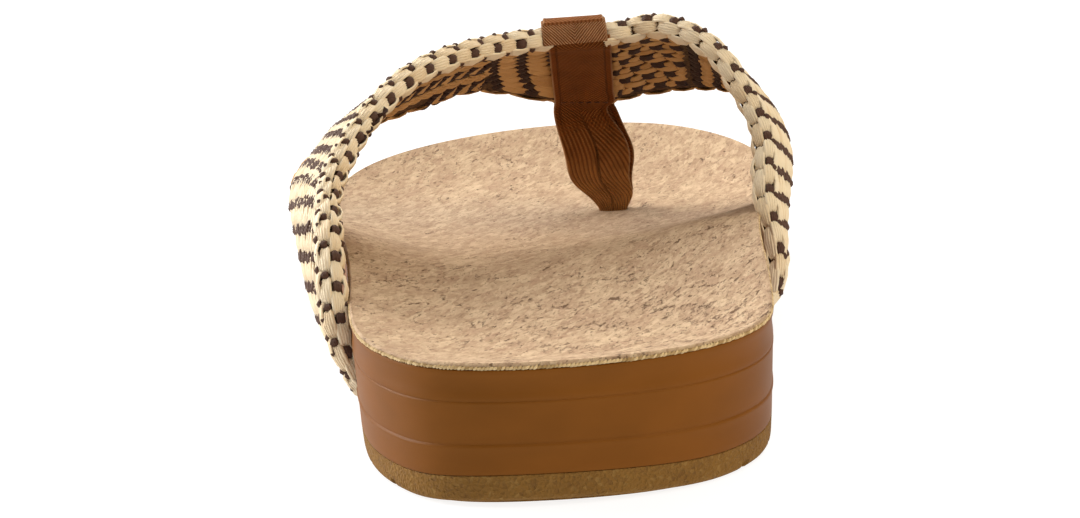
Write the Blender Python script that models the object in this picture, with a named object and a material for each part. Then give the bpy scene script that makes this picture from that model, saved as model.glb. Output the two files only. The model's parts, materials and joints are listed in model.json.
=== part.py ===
"""Thong sandal for a left foot: outsole, midsole, cork footbed, woven band and toe loop.

Frame: +X to the inner (big-toe) side, +Y to the toes, +Z up, floor at Z = 0.
Tables are in millimetres: "across" from the heel's middle line, positive to the inner side,
"along" from the back of the heel, "up" from the floor.  place() turns them into metres
about the origin, which lies under the middle of the whole sandal.
"""
import math
from collections import namedtuple

import bmesh
import bpy
import numpy as np
from mathutils import Vector

MM = 0.001

# Driving sizes, in millimetres
SOLE_LENGTH = 257.0
ORIGIN_ACROSS = -1.4
ORIGIN_ALONG = 128.5
JOINT_GAP = 0.3

OUTSOLE_THICKNESS = 4.3
OUTSOLE_EDGE_ROUND = 1.3
TOE_SPRING = 6.6
TOE_SPRING_START = 182.0
HEEL_LIFT = 0.9
HEEL_LIFT_START = 12.0
WALL_TAPER = 1.2

GROOVE_LEVELS = (0.33, 0.70)
GROOVE_HEIGHT = 0.9
GROOVE_DEPTH = 0.5

FOOTBED_THICKNESS = 1.0
FOOTBED_EDGE_INSET = 0.3
FOOTBED_EDGE_ROUND = 0.45
CUP_WIDTH = 24.0
STEP_SLANT = 0.85
STEP_PEAK_ACROSS = -13.0
STEP_PEAK_ROUND = 8.0
STEP_SHIFT = 6.8
STEP_ALONG = 108.0
STEP_HALF_LENGTH = 42.0
ARCH_RISE = 1.7
ARCH_ACROSS = 27.0
ARCH_ALONG = 108.0
ARCH_HALF_WIDTH = 13.0
ARCH_HALF_LENGTH = 36.0

BAND_THICKNESS = 3.2
BAND_CROWN = 1.2
BAND_END_ROWS = 4
SLOT_GAP = 0.35

TAPE_WIDTH = 13.4
TAPE_THICKNESS = 1.2
TAPE_ACROSS = 4.1
TAPE_LEAN = 0.10
TAPE_ROLL_SPREAD = 1.24
TAPE_ROLL_SHARE = 0.03
TAPE_FACE_SPREAD = 1.06
TAPE_NARROWING = 0.12
TAPE_CORNER = 0.35
POST_HOLE_CLEARANCE = 0.35
POST_HOLE_FLOOR = 7.4

CHANNEL_DEPTH = 1.3
CHANNEL_WIDTH = 2.6
CHANNEL_BOW = 5.0
CHANNEL_REACH = 62.0
CUTTER_EXCESS = 3.0

# Mesh fineness
SOLE_ROWS = 44
CONTOUR_COLUMNS = 11
FLAT_COLUMNS = 4
BAND_STEPS_PER_ROW = 3
TAPE_SECTIONS = 6
OVAL_POINTS = 12
CHANNEL_SECTIONS = 6

# The sole's plan: how far the two edges lie from the heel's middle line
Outline = namedtuple("Outline", "along outer inner")
OUTLINE = (
    Outline(0.0, -5.5, -5.5),
    Outline(3.5, -20.5, 12.5),
    Outline(12.5, -28.6, 25.0),
    Outline(25.0, -33.8, 31.7),
    Outline(45.0, -37.0, 34.3),
    Outline(70.0, -38.7, 35.5),
    Outline(100.0, -41.7, 36.8),
    Outline(130.0, -46.2, 40.4),
    Outline(160.0, -50.4, 45.4),
    Outline(185.0, -51.6, 48.4),
    Outline(205.0, -50.7, 48.6),
    Outline(225.0, -45.5, 45.3),
    Outline(240.0, -34.6, 38.2),
    Outline(250.0, -20.8, 29.3),
    Outline(254.5, -10.0, 21.7),
    Outline(257.0, 6.5, 6.5),
)

# Heights of the footbed's rim and of its middle
Height = namedtuple("Height", "along rim middle")
HEIGHTS = (
    Height(0.0, 23.0, 21.7),
    Height(20.0, 23.0, 19.4),
    Height(45.0, 23.2, 18.6),
    Height(70.0, 23.8, 19.0),
    Height(90.0, 24.4, 19.2),
    Height(108.0, 24.6, 18.2),
    Height(128.0, 23.3, 16.5),
    Height(150.0, 20.8, 15.2),
    Height(185.0, 17.5, 14.5),
    Height(215.0, 18.5, 15.4),
    Height(240.0, 20.8, 18.6),
    Height(257.0, 22.4, 22.0),
)

# The band, from its outer slot over the foot to its inner slot: the middle of its rolled
# back edge, the middle of its front edge, and the roll's thickness there
Band = namedtuple(
    "Band", "back_across back_along back_up front_across front_along front_up roll")
BAND = (
    Band(-31.5, 48.5, 7.4, -34.8, 86.0, 7.4, 3.2),
    Band(-34.9, 48.5, 8.4, -38.4, 86.5, 8.4, 3.2),
    Band(-37.4, 49.0, 11.8, -42.9, 88.5, 12.0, 3.4),
    Band(-39.5, 51.5, 18.5, -46.9, 95.0, 19.0, 4.6),
    Band(-40.5, 56.5, 26.0, -49.0, 102.5, 26.5, 5.0),
    Band(-41.0, 65.0, 34.0, -50.1, 110.0, 34.0, 4.9),
    Band(-41.3, 76.0, 38.5, -46.3, 121.0, 38.4, 4.6),
    Band(-38.2, 90.0, 44.6, -42.8, 132.5, 41.2, 4.6),
    Band(-28.0, 111.5, 53.4, -34.1, 147.0, 42.1, 4.6),
    Band(-14.1, 129.0, 56.2, -19.4, 162.5, 44.5, 4.6),
    Band(-4.3, 137.5, 56.4, -7.5, 171.0, 42.2, 4.6),
    Band(4.6, 141.5, 56.6, 5.4, 174.5, 39.4, 4.6),
    Band(13.7, 143.0, 56.6, 14.6, 176.0, 40.0, 4.6),
    Band(21.8, 141.5, 57.6, 24.2, 175.5, 41.2, 4.6),
    Band(30.8, 136.0, 53.5, 34.4, 170.0, 41.6, 4.6),
    Band(36.6, 130.5, 45.2, 41.4, 162.5, 39.2, 4.6),
    Band(39.8, 124.0, 36.8, 46.0, 156.0, 31.6, 4.8),
    Band(39.7, 115.5, 28.0, 46.3, 150.5, 23.5, 4.8),
    Band(40.75, 108.5, 18.0, 44.3, 147.0, 15.8, 4.2),
    Band(39.6, 107.0, 10.6, 43.6, 145.5, 10.2, 3.6),
    Band(36.6, 106.5, 7.9, 41.6, 145.5, 7.9, 3.2),
    Band(32.0, 106.5, 7.4, 36.8, 146.0, 7.4, 3.2),
)

# The doubled tape below the band, from the band down into the footbed
Stem = namedtuple("Stem", "across along up width thickness turn")
STEM = (
    Stem(6.0, 175.2, 36.9, 14.0, 2.4, 12.0),
    Stem(7.0, 176.6, 33.0, 14.8, 2.6, 10.0),
    Stem(8.8, 178.3, 26.0, 15.2, 2.8, 6.0),
    Stem(9.2, 179.3, 20.5, 12.8, 3.0, 2.0),
    Stem(10.8, 180.0, 17.2, 9.4, 3.8, 0.0),
    Stem(11.2, 180.1, 14.6, 6.2, 4.4, 0.0),
    Stem(11.2, 180.1, 8.0, 6.0, 4.2, 0.0),
)

# Channels across the outsole's tread, by where they cross the middle line
CHANNELS_ALONG = (18.0, 31.0, 44.0, 57.0, 70.0, 132.0, 145.0, 158.0, 171.0, 184.0, 197.0,
                  210.0, 223.0)


# ---------------------------------------------------------------- curves and surfaces

def spline(knots, values, period=None):
    """Return a function that runs smoothly through the values, closed where a period is given."""
    places = np.array(knots, dtype=float)
    heights = np.array(values, dtype=float)
    if period is not None:
        places = np.append(places, places[0] + period)
        heights = np.concatenate([heights, heights[:1]])
    last = len(places) - 1
    gaps = np.diff(places)
    slopes = (np.diff(heights, axis=0).T / gaps).T
    matrix = np.zeros((last + 1, last + 1))
    right = np.zeros_like(heights)
    for i in range(1, last):
        matrix[i, i - 1:i + 2] = gaps[i - 1], 2.0 * (gaps[i - 1] + gaps[i]), gaps[i]
        right[i] = 6.0 * (slopes[i] - slopes[i - 1])
    matrix[0, 0] = 1.0
    matrix[last, last] = 1.0
    if period is not None:
        matrix[0, last] = -1.0
        matrix[last, 0] = 2.0 * gaps[0]
        matrix[last, 1] = gaps[0]
        matrix[last, last - 1] = gaps[last - 1]
        matrix[last, last] = 2.0 * gaps[last - 1]
        right[last] = 6.0 * (slopes[0] - slopes[last - 1])
    bends = np.linalg.solve(matrix, right)

    def at(place):
        i = int(np.clip(np.searchsorted(places, place) - 1, 0, last - 1))
        gap = gaps[i]
        before = (places[i + 1] - place) / gap
        after = (place - places[i]) / gap
        curve = (before ** 3 - before) * bends[i] + (after ** 3 - after) * bends[i + 1]
        return before * heights[i] + after * heights[i + 1] + curve * gap * gap / 6.0

    return at


def turn_of(along):
    """Angle that stands for a place along the sole: 0 at the heel's back, pi at the toe."""
    return math.acos(1.0 - 2.0 * along / SOLE_LENGTH)


def outline_function():
    """Return edge(turn): inner side for turns 0 to pi, outer side for turns 0 to -pi."""
    outer = [(-turn_of(row.along), row.outer) for row in OUTLINE[:0:-1]]
    inner = [(turn_of(row.along), row.inner) for row in OUTLINE[:-1]]
    turns, across = zip(*(outer + inner))
    edge_across = spline(turns, across, period=2.0 * math.pi)

    def edge(turn):
        return Vector((float(edge_across(turn)), 0.5 * SOLE_LENGTH * (1.0 - math.cos(turn)), 0.0))

    return edge


EDGE = outline_function()
RIM = spline([row.along for row in HEIGHTS], [row.rim for row in HEIGHTS])
MIDDLE = spline([row.along for row in HEIGHTS], [row.middle for row in HEIGHTS])


def edge_point(turn, inset=0.0):
    """Point of the sole's plan at a turn, moved inwards by the inset."""
    step = 0.002
    before = EDGE(max(turn - step, -math.pi))
    after = EDGE(min(turn + step, math.pi))
    run = (after - before).normalized()
    return EDGE(turn) + Vector((-run.y, run.x, 0.0)) * inset


def distance_inside(point, ring):
    """Distance from a point to a closed ring of plan points."""
    starts = ring
    spans = np.roll(ring, -1, axis=0) - ring
    offsets = np.array((point.x, point.y)) - starts
    shares = np.clip((offsets * spans).sum(1) / (spans * spans).sum(1), 0.0, 1.0)
    return float(np.linalg.norm(offsets - spans * shares[:, None], axis=1).min())


PLAN_RING = np.array([EDGE(turn).to_2d() for turn in np.linspace(-math.pi, math.pi, 241)[:-1]])


def window(value, middle, half_width):
    """Smooth bump: 1 at the middle, falling to nothing over about two half widths."""
    return math.exp(-((value - middle) / half_width) ** 2)


def floor_lift(along):
    """Height of the tread: flat underfoot, rising to the toe and a little at the heel's back."""
    toe = max(0.0, (along - TOE_SPRING_START) / (SOLE_LENGTH - TOE_SPRING_START))
    heel = max(0.0, (HEEL_LIFT_START - along) / HEEL_LIFT_START)
    return TOE_SPRING * toe ** 2 + HEEL_LIFT * heel ** 2


def outsole_top(point):
    return floor_lift(point.y) + OUTSOLE_THICKNESS


def midsole_bottom(point):
    return outsole_top(point) + JOINT_GAP


def footbed_top(point):
    """Contour of the footbed: rim, cup, oblique step down to the forefoot, and inner arch."""
    oblique = STEP_SLANT * math.hypot(point.x - STEP_PEAK_ACROSS, STEP_PEAK_ROUND) - STEP_SHIFT
    along = min(max(point.y, 0.0), SOLE_LENGTH)
    shifted = along - oblique * window(along, STEP_ALONG, STEP_HALF_LENGTH)
    rim = float(RIM(along))
    middle = float(MIDDLE(max(shifted, 0.0)))
    inside = min(distance_inside(point, PLAN_RING) / CUP_WIDTH, 1.0)
    arch = (ARCH_RISE * window(point.x, ARCH_ACROSS, ARCH_HALF_WIDTH)
            * window(along, ARCH_ALONG, ARCH_HALF_LENGTH) * (1.0 - (1.0 - inside) ** 4))
    return middle + (rim - middle) * (1.0 - inside) ** 2 + arch


def footbed_bottom(point):
    return footbed_top(point) - FOOTBED_THICKNESS


def midsole_top(point):
    return footbed_bottom(point) - JOINT_GAP


def wall_inset(share):
    """Inset of the sidewall: none at the rim, WALL_TAPER at the floor."""
    return WALL_TAPER * (1.0 - share)


# ---------------------------------------------------------------- mesh helpers

def place(point):
    """Metres about the origin, from a point in millimetres across, along and up."""
    return Vector((point.x - ORIGIN_ACROSS, point.y - ORIGIN_ALONG, point.z)) * MM


def material(name, colour, roughness, metallic=0.0):
    made = bpy.data.materials.new(name)
    made.use_nodes = True
    shader = made.node_tree.nodes["Principled BSDF"]
    shader.inputs["Base Color"].default_value = (*colour, 1.0)
    shader.inputs["Roughness"].default_value = roughness
    shader.inputs["Metallic"].default_value = metallic
    return made


def add_object(name, points, faces, finish, collection):
    """Make an object from points in millimetres; coinciding points are merged."""
    mesh = bpy.data.meshes.new(name)
    mesh.from_pydata([place(point) for point in points], [], faces)
    built = bmesh.new()
    built.from_mesh(mesh)
    bmesh.ops.remove_doubles(built, verts=built.verts, dist=0.00001)
    bmesh.ops.dissolve_degenerate(built, edges=built.edges, dist=0.00001)
    bmesh.ops.recalc_face_normals(built, faces=built.faces)
    built.to_mesh(mesh)
    built.free()
    mesh.shade_smooth()
    mesh.set_sharp_from_angle(angle=math.radians(35.0))
    made = bpy.data.objects.new(name, mesh)
    if finish is not None:
        mesh.materials.append(finish)
    collection.objects.link(made)
    return made


def cut(target, cutter):
    """Cut one solid with another by an exact Boolean, kept as a modifier."""
    cutter.hide_render = True
    cutter.display_type = "WIRE"
    modifier = target.modifiers.new("cut " + cutter.name, "BOOLEAN")
    modifier.operation = "DIFFERENCE"
    modifier.solver = "EXACT"
    modifier.object = cutter


def layer(name, upper, lower, wall, columns, finish, collection):
    """Solid with the sole's plan.

    upper and lower give heights for a plan point; wall lists rows from top to bottom, each
    a function of a plan point that gives (inset, height).  columns are for the two faces.
    """
    turns = [math.pi * row / SOLE_ROWS for row in range(SOLE_ROWS + 1)]
    shares = [0.5 - 0.5 * math.cos(math.pi * column / columns) for column in range(columns + 1)]
    loop = turns + [-turn for turn in turns[-2:0:-1]]
    points = []
    faces = []
    for row in wall:
        for turn in loop:
            inset, height = row(EDGE(turn))
            edge = edge_point(turn, inset)
            edge.z = height
            points.append(edge)
    count = len(loop)
    for row in range(len(wall) - 1):
        for i in range(count):
            j = (i + 1) % count
            faces.append((row * count + i, row * count + j,
                          (row + 1) * count + j, (row + 1) * count + i))
    for row, height_of, flip in ((0, upper, False), (len(wall) - 1, lower, True)):
        base = row * count
        grid = []
        for k in range(SOLE_ROWS + 1):
            inner = base + k
            outer = base + (-k) % count
            line = [outer]
            for share in shares[1:-1]:
                if k in (0, SOLE_ROWS):
                    line.append(outer)
                    continue
                point = points[outer].lerp(points[inner], share)
                point.z = height_of(point)
                line.append(len(points))
                points.append(point)
            line.append(inner)
            grid.append(line)
        for k in range(SOLE_ROWS):
            for column in range(columns):
                corners = [grid[k][column], grid[k][column + 1],
                           grid[k + 1][column + 1], grid[k + 1][column]]
                face = list(dict.fromkeys(corners))
                if len(face) > 2:
                    faces.append(face[::-1] if flip else face)
    return add_object(name, points, faces, finish, collection)


def skin(rings, closed_ends=True):
    """Faces that join rings of equal length, with a cap at each end where asked."""
    count = len(rings[0])
    points = [point for ring in rings for point in ring]
    faces = []
    for row in range(len(rings) - 1):
        for i in range(count):
            j = (i + 1) % count
            faces.append((row * count + i, row * count + j,
                          (row + 1) * count + j, (row + 1) * count + i))
    if closed_ends:
        faces.append(tuple(range(count)))
        faces.append(tuple(range((len(rings) - 1) * count, len(rings) * count)))
    return points, faces


def ring_centre(ring):
    return sum(ring, Vector()) / len(ring)


# ---------------------------------------------------------------- the sole

def build_outsole(finish, collection, cutters):
    """Rubber bottom: rounded lower edge, then channels across the tread."""
    def top_row(edge):
        return wall_inset(outsole_top(edge) / RIM(edge.y)), outsole_top(edge)

    def side_row(edge):
        return WALL_TAPER, floor_lift(edge.y) + OUTSOLE_EDGE_ROUND

    def round_row(edge):
        return WALL_TAPER + 0.35 * OUTSOLE_EDGE_ROUND, floor_lift(edge.y) + 0.35 * OUTSOLE_EDGE_ROUND

    def foot_row(edge):
        return WALL_TAPER + OUTSOLE_EDGE_ROUND, floor_lift(edge.y)

    outsole = layer("outsole", outsole_top, lambda point: floor_lift(point.y),
                    (top_row, side_row, round_row, foot_row), FLAT_COLUMNS, finish, collection)
    for number, along in enumerate(CHANNELS_ALONG, start=1):
        cut(outsole, build_channel(number, along, cutters))
    return outsole


def build_channel(number, along, cutters):
    """Bowed bar that cuts one channel right across the tread."""
    rings = []
    for step in range(CHANNEL_SECTIONS + 1):
        share = 2.0 * step / CHANNEL_SECTIONS - 1.0
        middle = along - CHANNEL_BOW * share ** 2
        top = floor_lift(middle) + CHANNEL_DEPTH
        ring = []
        for side, up in ((-0.5, -CUTTER_EXCESS), (0.5, -CUTTER_EXCESS), (0.5, top), (-0.5, top)):
            ring.append(Vector((share * CHANNEL_REACH, middle + side * CHANNEL_WIDTH, up)))
        rings.append(ring)
    points, faces = skin(rings)
    return add_object("channel cutter %d" % number, points, faces, None, cutters)


def build_midsole(finish, collection, cutters):
    """Sidewall block between outsole and footbed, with its two grooves and its slots."""
    def row(share, extra_inset, shift=0.0):
        def at(edge):
            bottom = midsole_bottom(edge)
            top = RIM(edge.y) - FOOTBED_THICKNESS - JOINT_GAP
            height = bottom + (top - bottom) * share + shift
            return wall_inset(height / RIM(edge.y)) + extra_inset, float(height)
        return at

    rows = [row(1.0, 0.0)]
    for level in reversed(GROOVE_LEVELS):
        rows.append(row(level, 0.0, 0.5 * GROOVE_HEIGHT))
        rows.append(row(level, GROOVE_DEPTH))
        rows.append(row(level, 0.0, -0.5 * GROOVE_HEIGHT))
    rows.append(row(0.0, 0.0))
    midsole = layer("midsole", midsole_top, midsole_bottom, rows, CONTOUR_COLUMNS, finish, collection)
    cut(midsole, build_slot("outer slot cutter", 0, 1, cutters))
    cut(midsole, build_slot("inner slot cutter", len(BAND) - 1, -1, cutters))
    cut(midsole, build_post_hole("midsole hole cutter", cutters))
    return midsole


def build_slot(name, end, direction, cutters):
    """The end of the band itself, grown by the slot's gap, which cuts its slot."""
    rings = []
    for step in range(BAND_END_ROWS * BAND_STEPS_PER_ROW + 1):
        rings.append(band_ring(end + direction * step / BAND_STEPS_PER_ROW, SLOT_GAP))
    inwards = (ring_centre(rings[0]) - ring_centre(rings[1])).normalized()
    rings.insert(0, [point + inwards * 2.0 * SLOT_GAP for point in rings[0]])
    points, faces = skin(rings)
    return add_object(name, points, faces, None, cutters)


def build_post_hole(name, cutters):
    """Upright oval plug that cuts the hole for the toe loop's foot."""
    foot = STEM[-1]
    neck = STEM[-2]
    rings = []
    for up in (POST_HOLE_FLOOR, STEM[0].up):
        rings.append(oval(Vector((foot.across, foot.along, up)), Vector((1.0, 0.0, 0.0)),
                          Vector((0.0, 1.0, 0.0)), neck.width + 2.0 * POST_HOLE_CLEARANCE,
                          neck.thickness + 2.0 * POST_HOLE_CLEARANCE))
    points, faces = skin(rings)
    return add_object(name, points, faces, None, cutters)


def build_footbed(finish, collection, cutters):
    """Cork sheet with a softly rounded upper edge."""
    def crown_row(edge):
        return FOOTBED_EDGE_INSET + FOOTBED_EDGE_ROUND, float(RIM(edge.y))

    def round_row(edge):
        return FOOTBED_EDGE_INSET, float(RIM(edge.y)) - FOOTBED_EDGE_ROUND

    def foot_row(edge):
        return FOOTBED_EDGE_INSET, float(RIM(edge.y)) - FOOTBED_THICKNESS

    footbed = layer("footbed", footbed_top, footbed_bottom, (crown_row, round_row, foot_row),
                    CONTOUR_COLUMNS, finish, collection)
    cut(footbed, build_post_hole("footbed hole cutter", cutters))
    return footbed


# ---------------------------------------------------------------- the band

def band_function():
    """Return frame(place): back and front points and roll, for a place counted in rows."""
    places = list(range(len(BAND)))
    table = spline(places, [tuple(row) for row in BAND])

    def frame(place_):
        values = table(place_)
        back = Vector(values[0:3])
        front = Vector(values[3:6])
        return back, front, float(values[6])

    return frame


BAND_FRAME = band_function()


# Where the band's section has its points: round the rolled back edge, along the two faces
# as shares of the width, and round the front edge
ROLL_ANGLES = (60.0, 95.0, 130.0, 165.0, 195.0, 230.0, 265.0, 300.0)
FACE_SHARES = (0.16, 0.38, 0.62, 0.84)
FRONT_ANGLES = (-80.0, -30.0, 30.0, 80.0)


def band_ring(place_, swell=0.0):
    """Closed section of the band, standing off its surface by the swell."""
    step = 0.02
    low = max(place_ - step, 0.0)
    high = min(place_ + step, len(BAND) - 1.0)
    back, front, roll = BAND_FRAME(place_)
    behind, ahead = BAND_FRAME(low), BAND_FRAME(high)
    run = ((ahead[0] + ahead[1]) - (behind[0] + behind[1])).normalized()
    span = front - back
    width = span.length
    over = span / width
    outward = run.cross(over).normalized()
    end_fade = min(place_, len(BAND) - 1.0 - place_) / BAND_END_ROWS
    crown = BAND_CROWN * min(end_fade, 1.0)
    half = 0.5 * BAND_THICKNESS + swell
    radius = 0.5 * roll + swell
    section = []
    for angle in ROLL_ANGLES:
        turn = math.radians(angle)
        section.append((radius * math.cos(turn), radius * math.sin(turn)))
    for share in FACE_SHARES:
        section.append((share * width, -half + crown * 4.0 * share * (1.0 - share)))
    for angle in FRONT_ANGLES:
        turn = math.radians(angle)
        section.append((width + half * math.cos(turn), half * math.sin(turn)))
    for share in reversed(FACE_SHARES):
        section.append((share * width, half + crown * 4.0 * share * (1.0 - share)))
    return [back + over * along + outward * up for along, up in section]


def build_strap(finish, collection):
    """The woven band as one solid, lofted from slot to slot."""
    steps = (len(BAND) - 1) * BAND_STEPS_PER_ROW
    rings = [band_ring(step / BAND_STEPS_PER_ROW) for step in range(steps + 1)]
    points, faces = skin(rings)
    return add_object("strap", points, faces, finish, collection)


# ---------------------------------------------------------------- the toe loop

def oval(centre, wide, deep, width, depth):
    """Closed ring like a rectangle with well rounded corners, of the given width and depth."""
    ring = []
    for step in range(OVAL_POINTS):
        turn = 2.0 * math.pi * (step + 0.5) / OVAL_POINTS
        x = math.copysign(abs(math.cos(turn)) ** TAPE_CORNER, math.cos(turn))
        y = math.copysign(abs(math.sin(turn)) ** TAPE_CORNER, math.sin(turn))
        ring.append(centre + wide * (0.5 * width * x) + deep * (0.5 * depth * y))
    return ring


def tape_places():
    """Places along the band that lie under the tape, from its outer to its inner edge."""
    fine = np.linspace(8.0, 14.0, 601)
    middles = [(BAND_FRAME(at)[0] + BAND_FRAME(at)[1]) * 0.5 for at in fine]
    run = [0.0]
    for before, after in zip(middles, middles[1:]):
        run.append(run[-1] + (after - before).length)
    centre = float(np.interp(TAPE_ACROSS, [middle.x for middle in middles], run))
    wanted = np.linspace(centre - 0.5 * TAPE_WIDTH, centre + 0.5 * TAPE_WIDTH, TAPE_SECTIONS + 1)
    return [float(np.interp(at, run, fine)) for at in wanted]


def tape_ring(place_, middle, swell):
    """Section of the tape round the band: widest on the roll, its front part leans inwards."""
    back, front, _ = BAND_FRAME(place_)
    span = front - back
    first_outer = len(ROLL_ANGLES) + len(FACE_SHARES) + len(FRONT_ANGLES)
    ring = []
    for number, here in enumerate(band_ring(place_, swell)):
        share = min(max((here - back).dot(span) / span.length_squared, 0.0), 1.0)
        spread = TAPE_ROLL_SPREAD
        if share > TAPE_ROLL_SHARE:
            spread = TAPE_FACE_SPREAD - TAPE_NARROWING * share
        if number >= first_outer:
            spread = TAPE_ROLL_SPREAD - TAPE_NARROWING * share
        spread_place = middle + (place_ - middle) * spread + TAPE_LEAN * share
        ring.append(band_ring(spread_place, swell)[number])
    return ring


def build_toe_post(finish, collection, helpers):
    """Tape round the band, joined to the doubled tape that runs down into the footbed."""
    places = tape_places()
    middle = 0.5 * (places[0] + places[-1])
    inner = [tape_ring(at, middle, JOINT_GAP) for at in places]
    outer = [tape_ring(at, middle, JOINT_GAP + TAPE_THICKNESS) for at in places]
    points, faces = skin(outer + inner[::-1], closed_ends=False)
    count = len(outer[0])
    last = len(outer) + len(inner) - 1
    for i in range(count):
        j = (i + 1) % count
        faces.append((last * count + i, last * count + j, j, i))
    post = add_object("toe_post", points, faces, finish, collection)
    rings = []
    for row in STEM:
        turn = math.radians(row.turn)
        wide = Vector((math.cos(turn), math.sin(turn), 0.0))
        deep = Vector((-math.sin(turn), math.cos(turn), 0.0))
        rings.append(oval(Vector((row.across, row.along, row.up)), wide, deep,
                          row.width, row.thickness))
    stem_points, stem_faces = skin(rings)
    stem = add_object("stem helper", stem_points, stem_faces, None, helpers)
    stem.hide_render = True
    stem.display_type = "WIRE"
    joined = post.modifiers.new("join stem", "BOOLEAN")
    joined.operation = "UNION"
    joined.solver = "EXACT"
    joined.object = stem
    return post


# ---------------------------------------------------------------- the whole sandal

def new_collection(name):
    made = bpy.data.collections.new(name)
    bpy.context.scene.collection.children.link(made)
    return made


def main():
    for old in list(bpy.data.objects):
        bpy.data.objects.remove(old, do_unlink=True)
    parts = new_collection("thong sandal")
    cutters = new_collection("cutters")
    rubber = material("khaki rubber", (0.20, 0.12, 0.045), 0.8)
    foam = material("caramel foam", (0.30, 0.13, 0.045), 0.38)
    cork = material("cork", (0.52, 0.33, 0.19), 0.85)
    weave = material("cream raffia weave", (0.72, 0.58, 0.38), 0.7)
    tape = material("brown cotton tape", (0.16, 0.055, 0.022), 0.85)
    build_outsole(rubber, parts, cutters)
    build_midsole(foam, parts, cutters)
    build_footbed(cork, parts, cutters)
    build_strap(weave, parts)
    build_toe_post(tape, parts, cutters)


main()
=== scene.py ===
"""Looks of a thong sandal for a left foot: woven band, toe tape, cork footbed, foam sole.

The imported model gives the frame, and every piece stands for one of its solids or lies on
one.  Shapes are worked out in millimetres: "across" from the heel's middle line, positive
to the inner side, "along" from the heel's back, and "up" from the floor.  They become
metres about the frame's origin when a mesh is made.
"""

import json
import logging
import math
from dataclasses import dataclass, field
from enum import Enum
from typing import Any, Callable, Iterable, NamedTuple, Sequence

import bmesh
import bpy
import numpy as np
from mathutils import Matrix, Vector

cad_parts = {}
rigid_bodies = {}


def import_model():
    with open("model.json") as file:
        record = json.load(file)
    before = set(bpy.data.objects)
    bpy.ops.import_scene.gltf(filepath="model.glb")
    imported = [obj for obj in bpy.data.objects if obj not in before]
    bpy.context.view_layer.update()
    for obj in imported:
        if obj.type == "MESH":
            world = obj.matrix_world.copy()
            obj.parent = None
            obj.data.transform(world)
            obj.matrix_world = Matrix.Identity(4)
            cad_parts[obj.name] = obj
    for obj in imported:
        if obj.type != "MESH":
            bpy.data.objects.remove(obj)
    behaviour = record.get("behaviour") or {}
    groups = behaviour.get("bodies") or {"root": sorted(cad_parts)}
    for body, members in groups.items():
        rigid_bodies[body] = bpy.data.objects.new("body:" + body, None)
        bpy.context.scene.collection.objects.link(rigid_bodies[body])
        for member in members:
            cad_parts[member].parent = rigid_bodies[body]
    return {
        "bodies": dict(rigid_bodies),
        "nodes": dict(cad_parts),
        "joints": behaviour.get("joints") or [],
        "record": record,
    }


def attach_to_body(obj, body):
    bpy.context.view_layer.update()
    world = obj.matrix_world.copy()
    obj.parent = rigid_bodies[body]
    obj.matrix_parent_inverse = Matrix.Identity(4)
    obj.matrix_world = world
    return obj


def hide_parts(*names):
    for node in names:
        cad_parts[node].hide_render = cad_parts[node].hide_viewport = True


log = logging.getLogger("sandal")
MM = 0.001
ORIGIN = np.array((-1.4, 128.5, 0.0))
Array = np.ndarray
Colour = tuple[float, float, float]
Piece = bpy.types.Object
Material = bpy.types.Material
Socket = bpy.types.NodeSocket

# ---- tables of the shape


class OutlineRow(NamedTuple):
    """Where the sole's two edges lie."""

    along: float
    outer: float
    inner: float


OUTLINE = tuple(OutlineRow(*row) for row in (
    (0.0, -5.5, -5.5), (3.5, -20.5, 12.5), (12.5, -28.6, 25.0), (25.0, -33.8, 31.7),
    (45.0, -37.0, 34.3), (70.0, -38.7, 35.5), (100.0, -41.7, 36.8), (130.0, -46.2, 40.4),
    (160.0, -50.4, 45.4), (185.0, -51.6, 48.4), (205.0, -50.7, 48.6), (225.0, -45.5, 45.3),
    (240.0, -34.6, 38.2), (250.0, -20.8, 29.3), (254.5, -10.0, 21.7), (257.0, 6.5, 6.5),
))


class HeightRow(NamedTuple):
    """Heights of the footbed's rim and of its middle."""

    along: float
    rim: float
    middle: float


HEIGHTS = tuple(HeightRow(*row) for row in (
    (0.0, 23.0, 21.7), (20.0, 23.0, 19.4), (45.0, 23.2, 18.6), (70.0, 23.8, 19.0),
    (90.0, 24.4, 19.2), (108.0, 24.6, 18.2), (128.0, 23.3, 16.5), (150.0, 20.8, 15.2),
    (185.0, 17.5, 14.5), (215.0, 18.5, 15.4), (240.0, 20.8, 18.6), (257.0, 22.4, 22.0),
))


class BandRow(NamedTuple):
    """Middle of the band's rolled back edge, middle of its front edge, thickness of the roll."""

    back_across: float
    back_along: float
    back_up: float
    front_across: float
    front_along: float
    front_up: float
    roll: float


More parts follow.
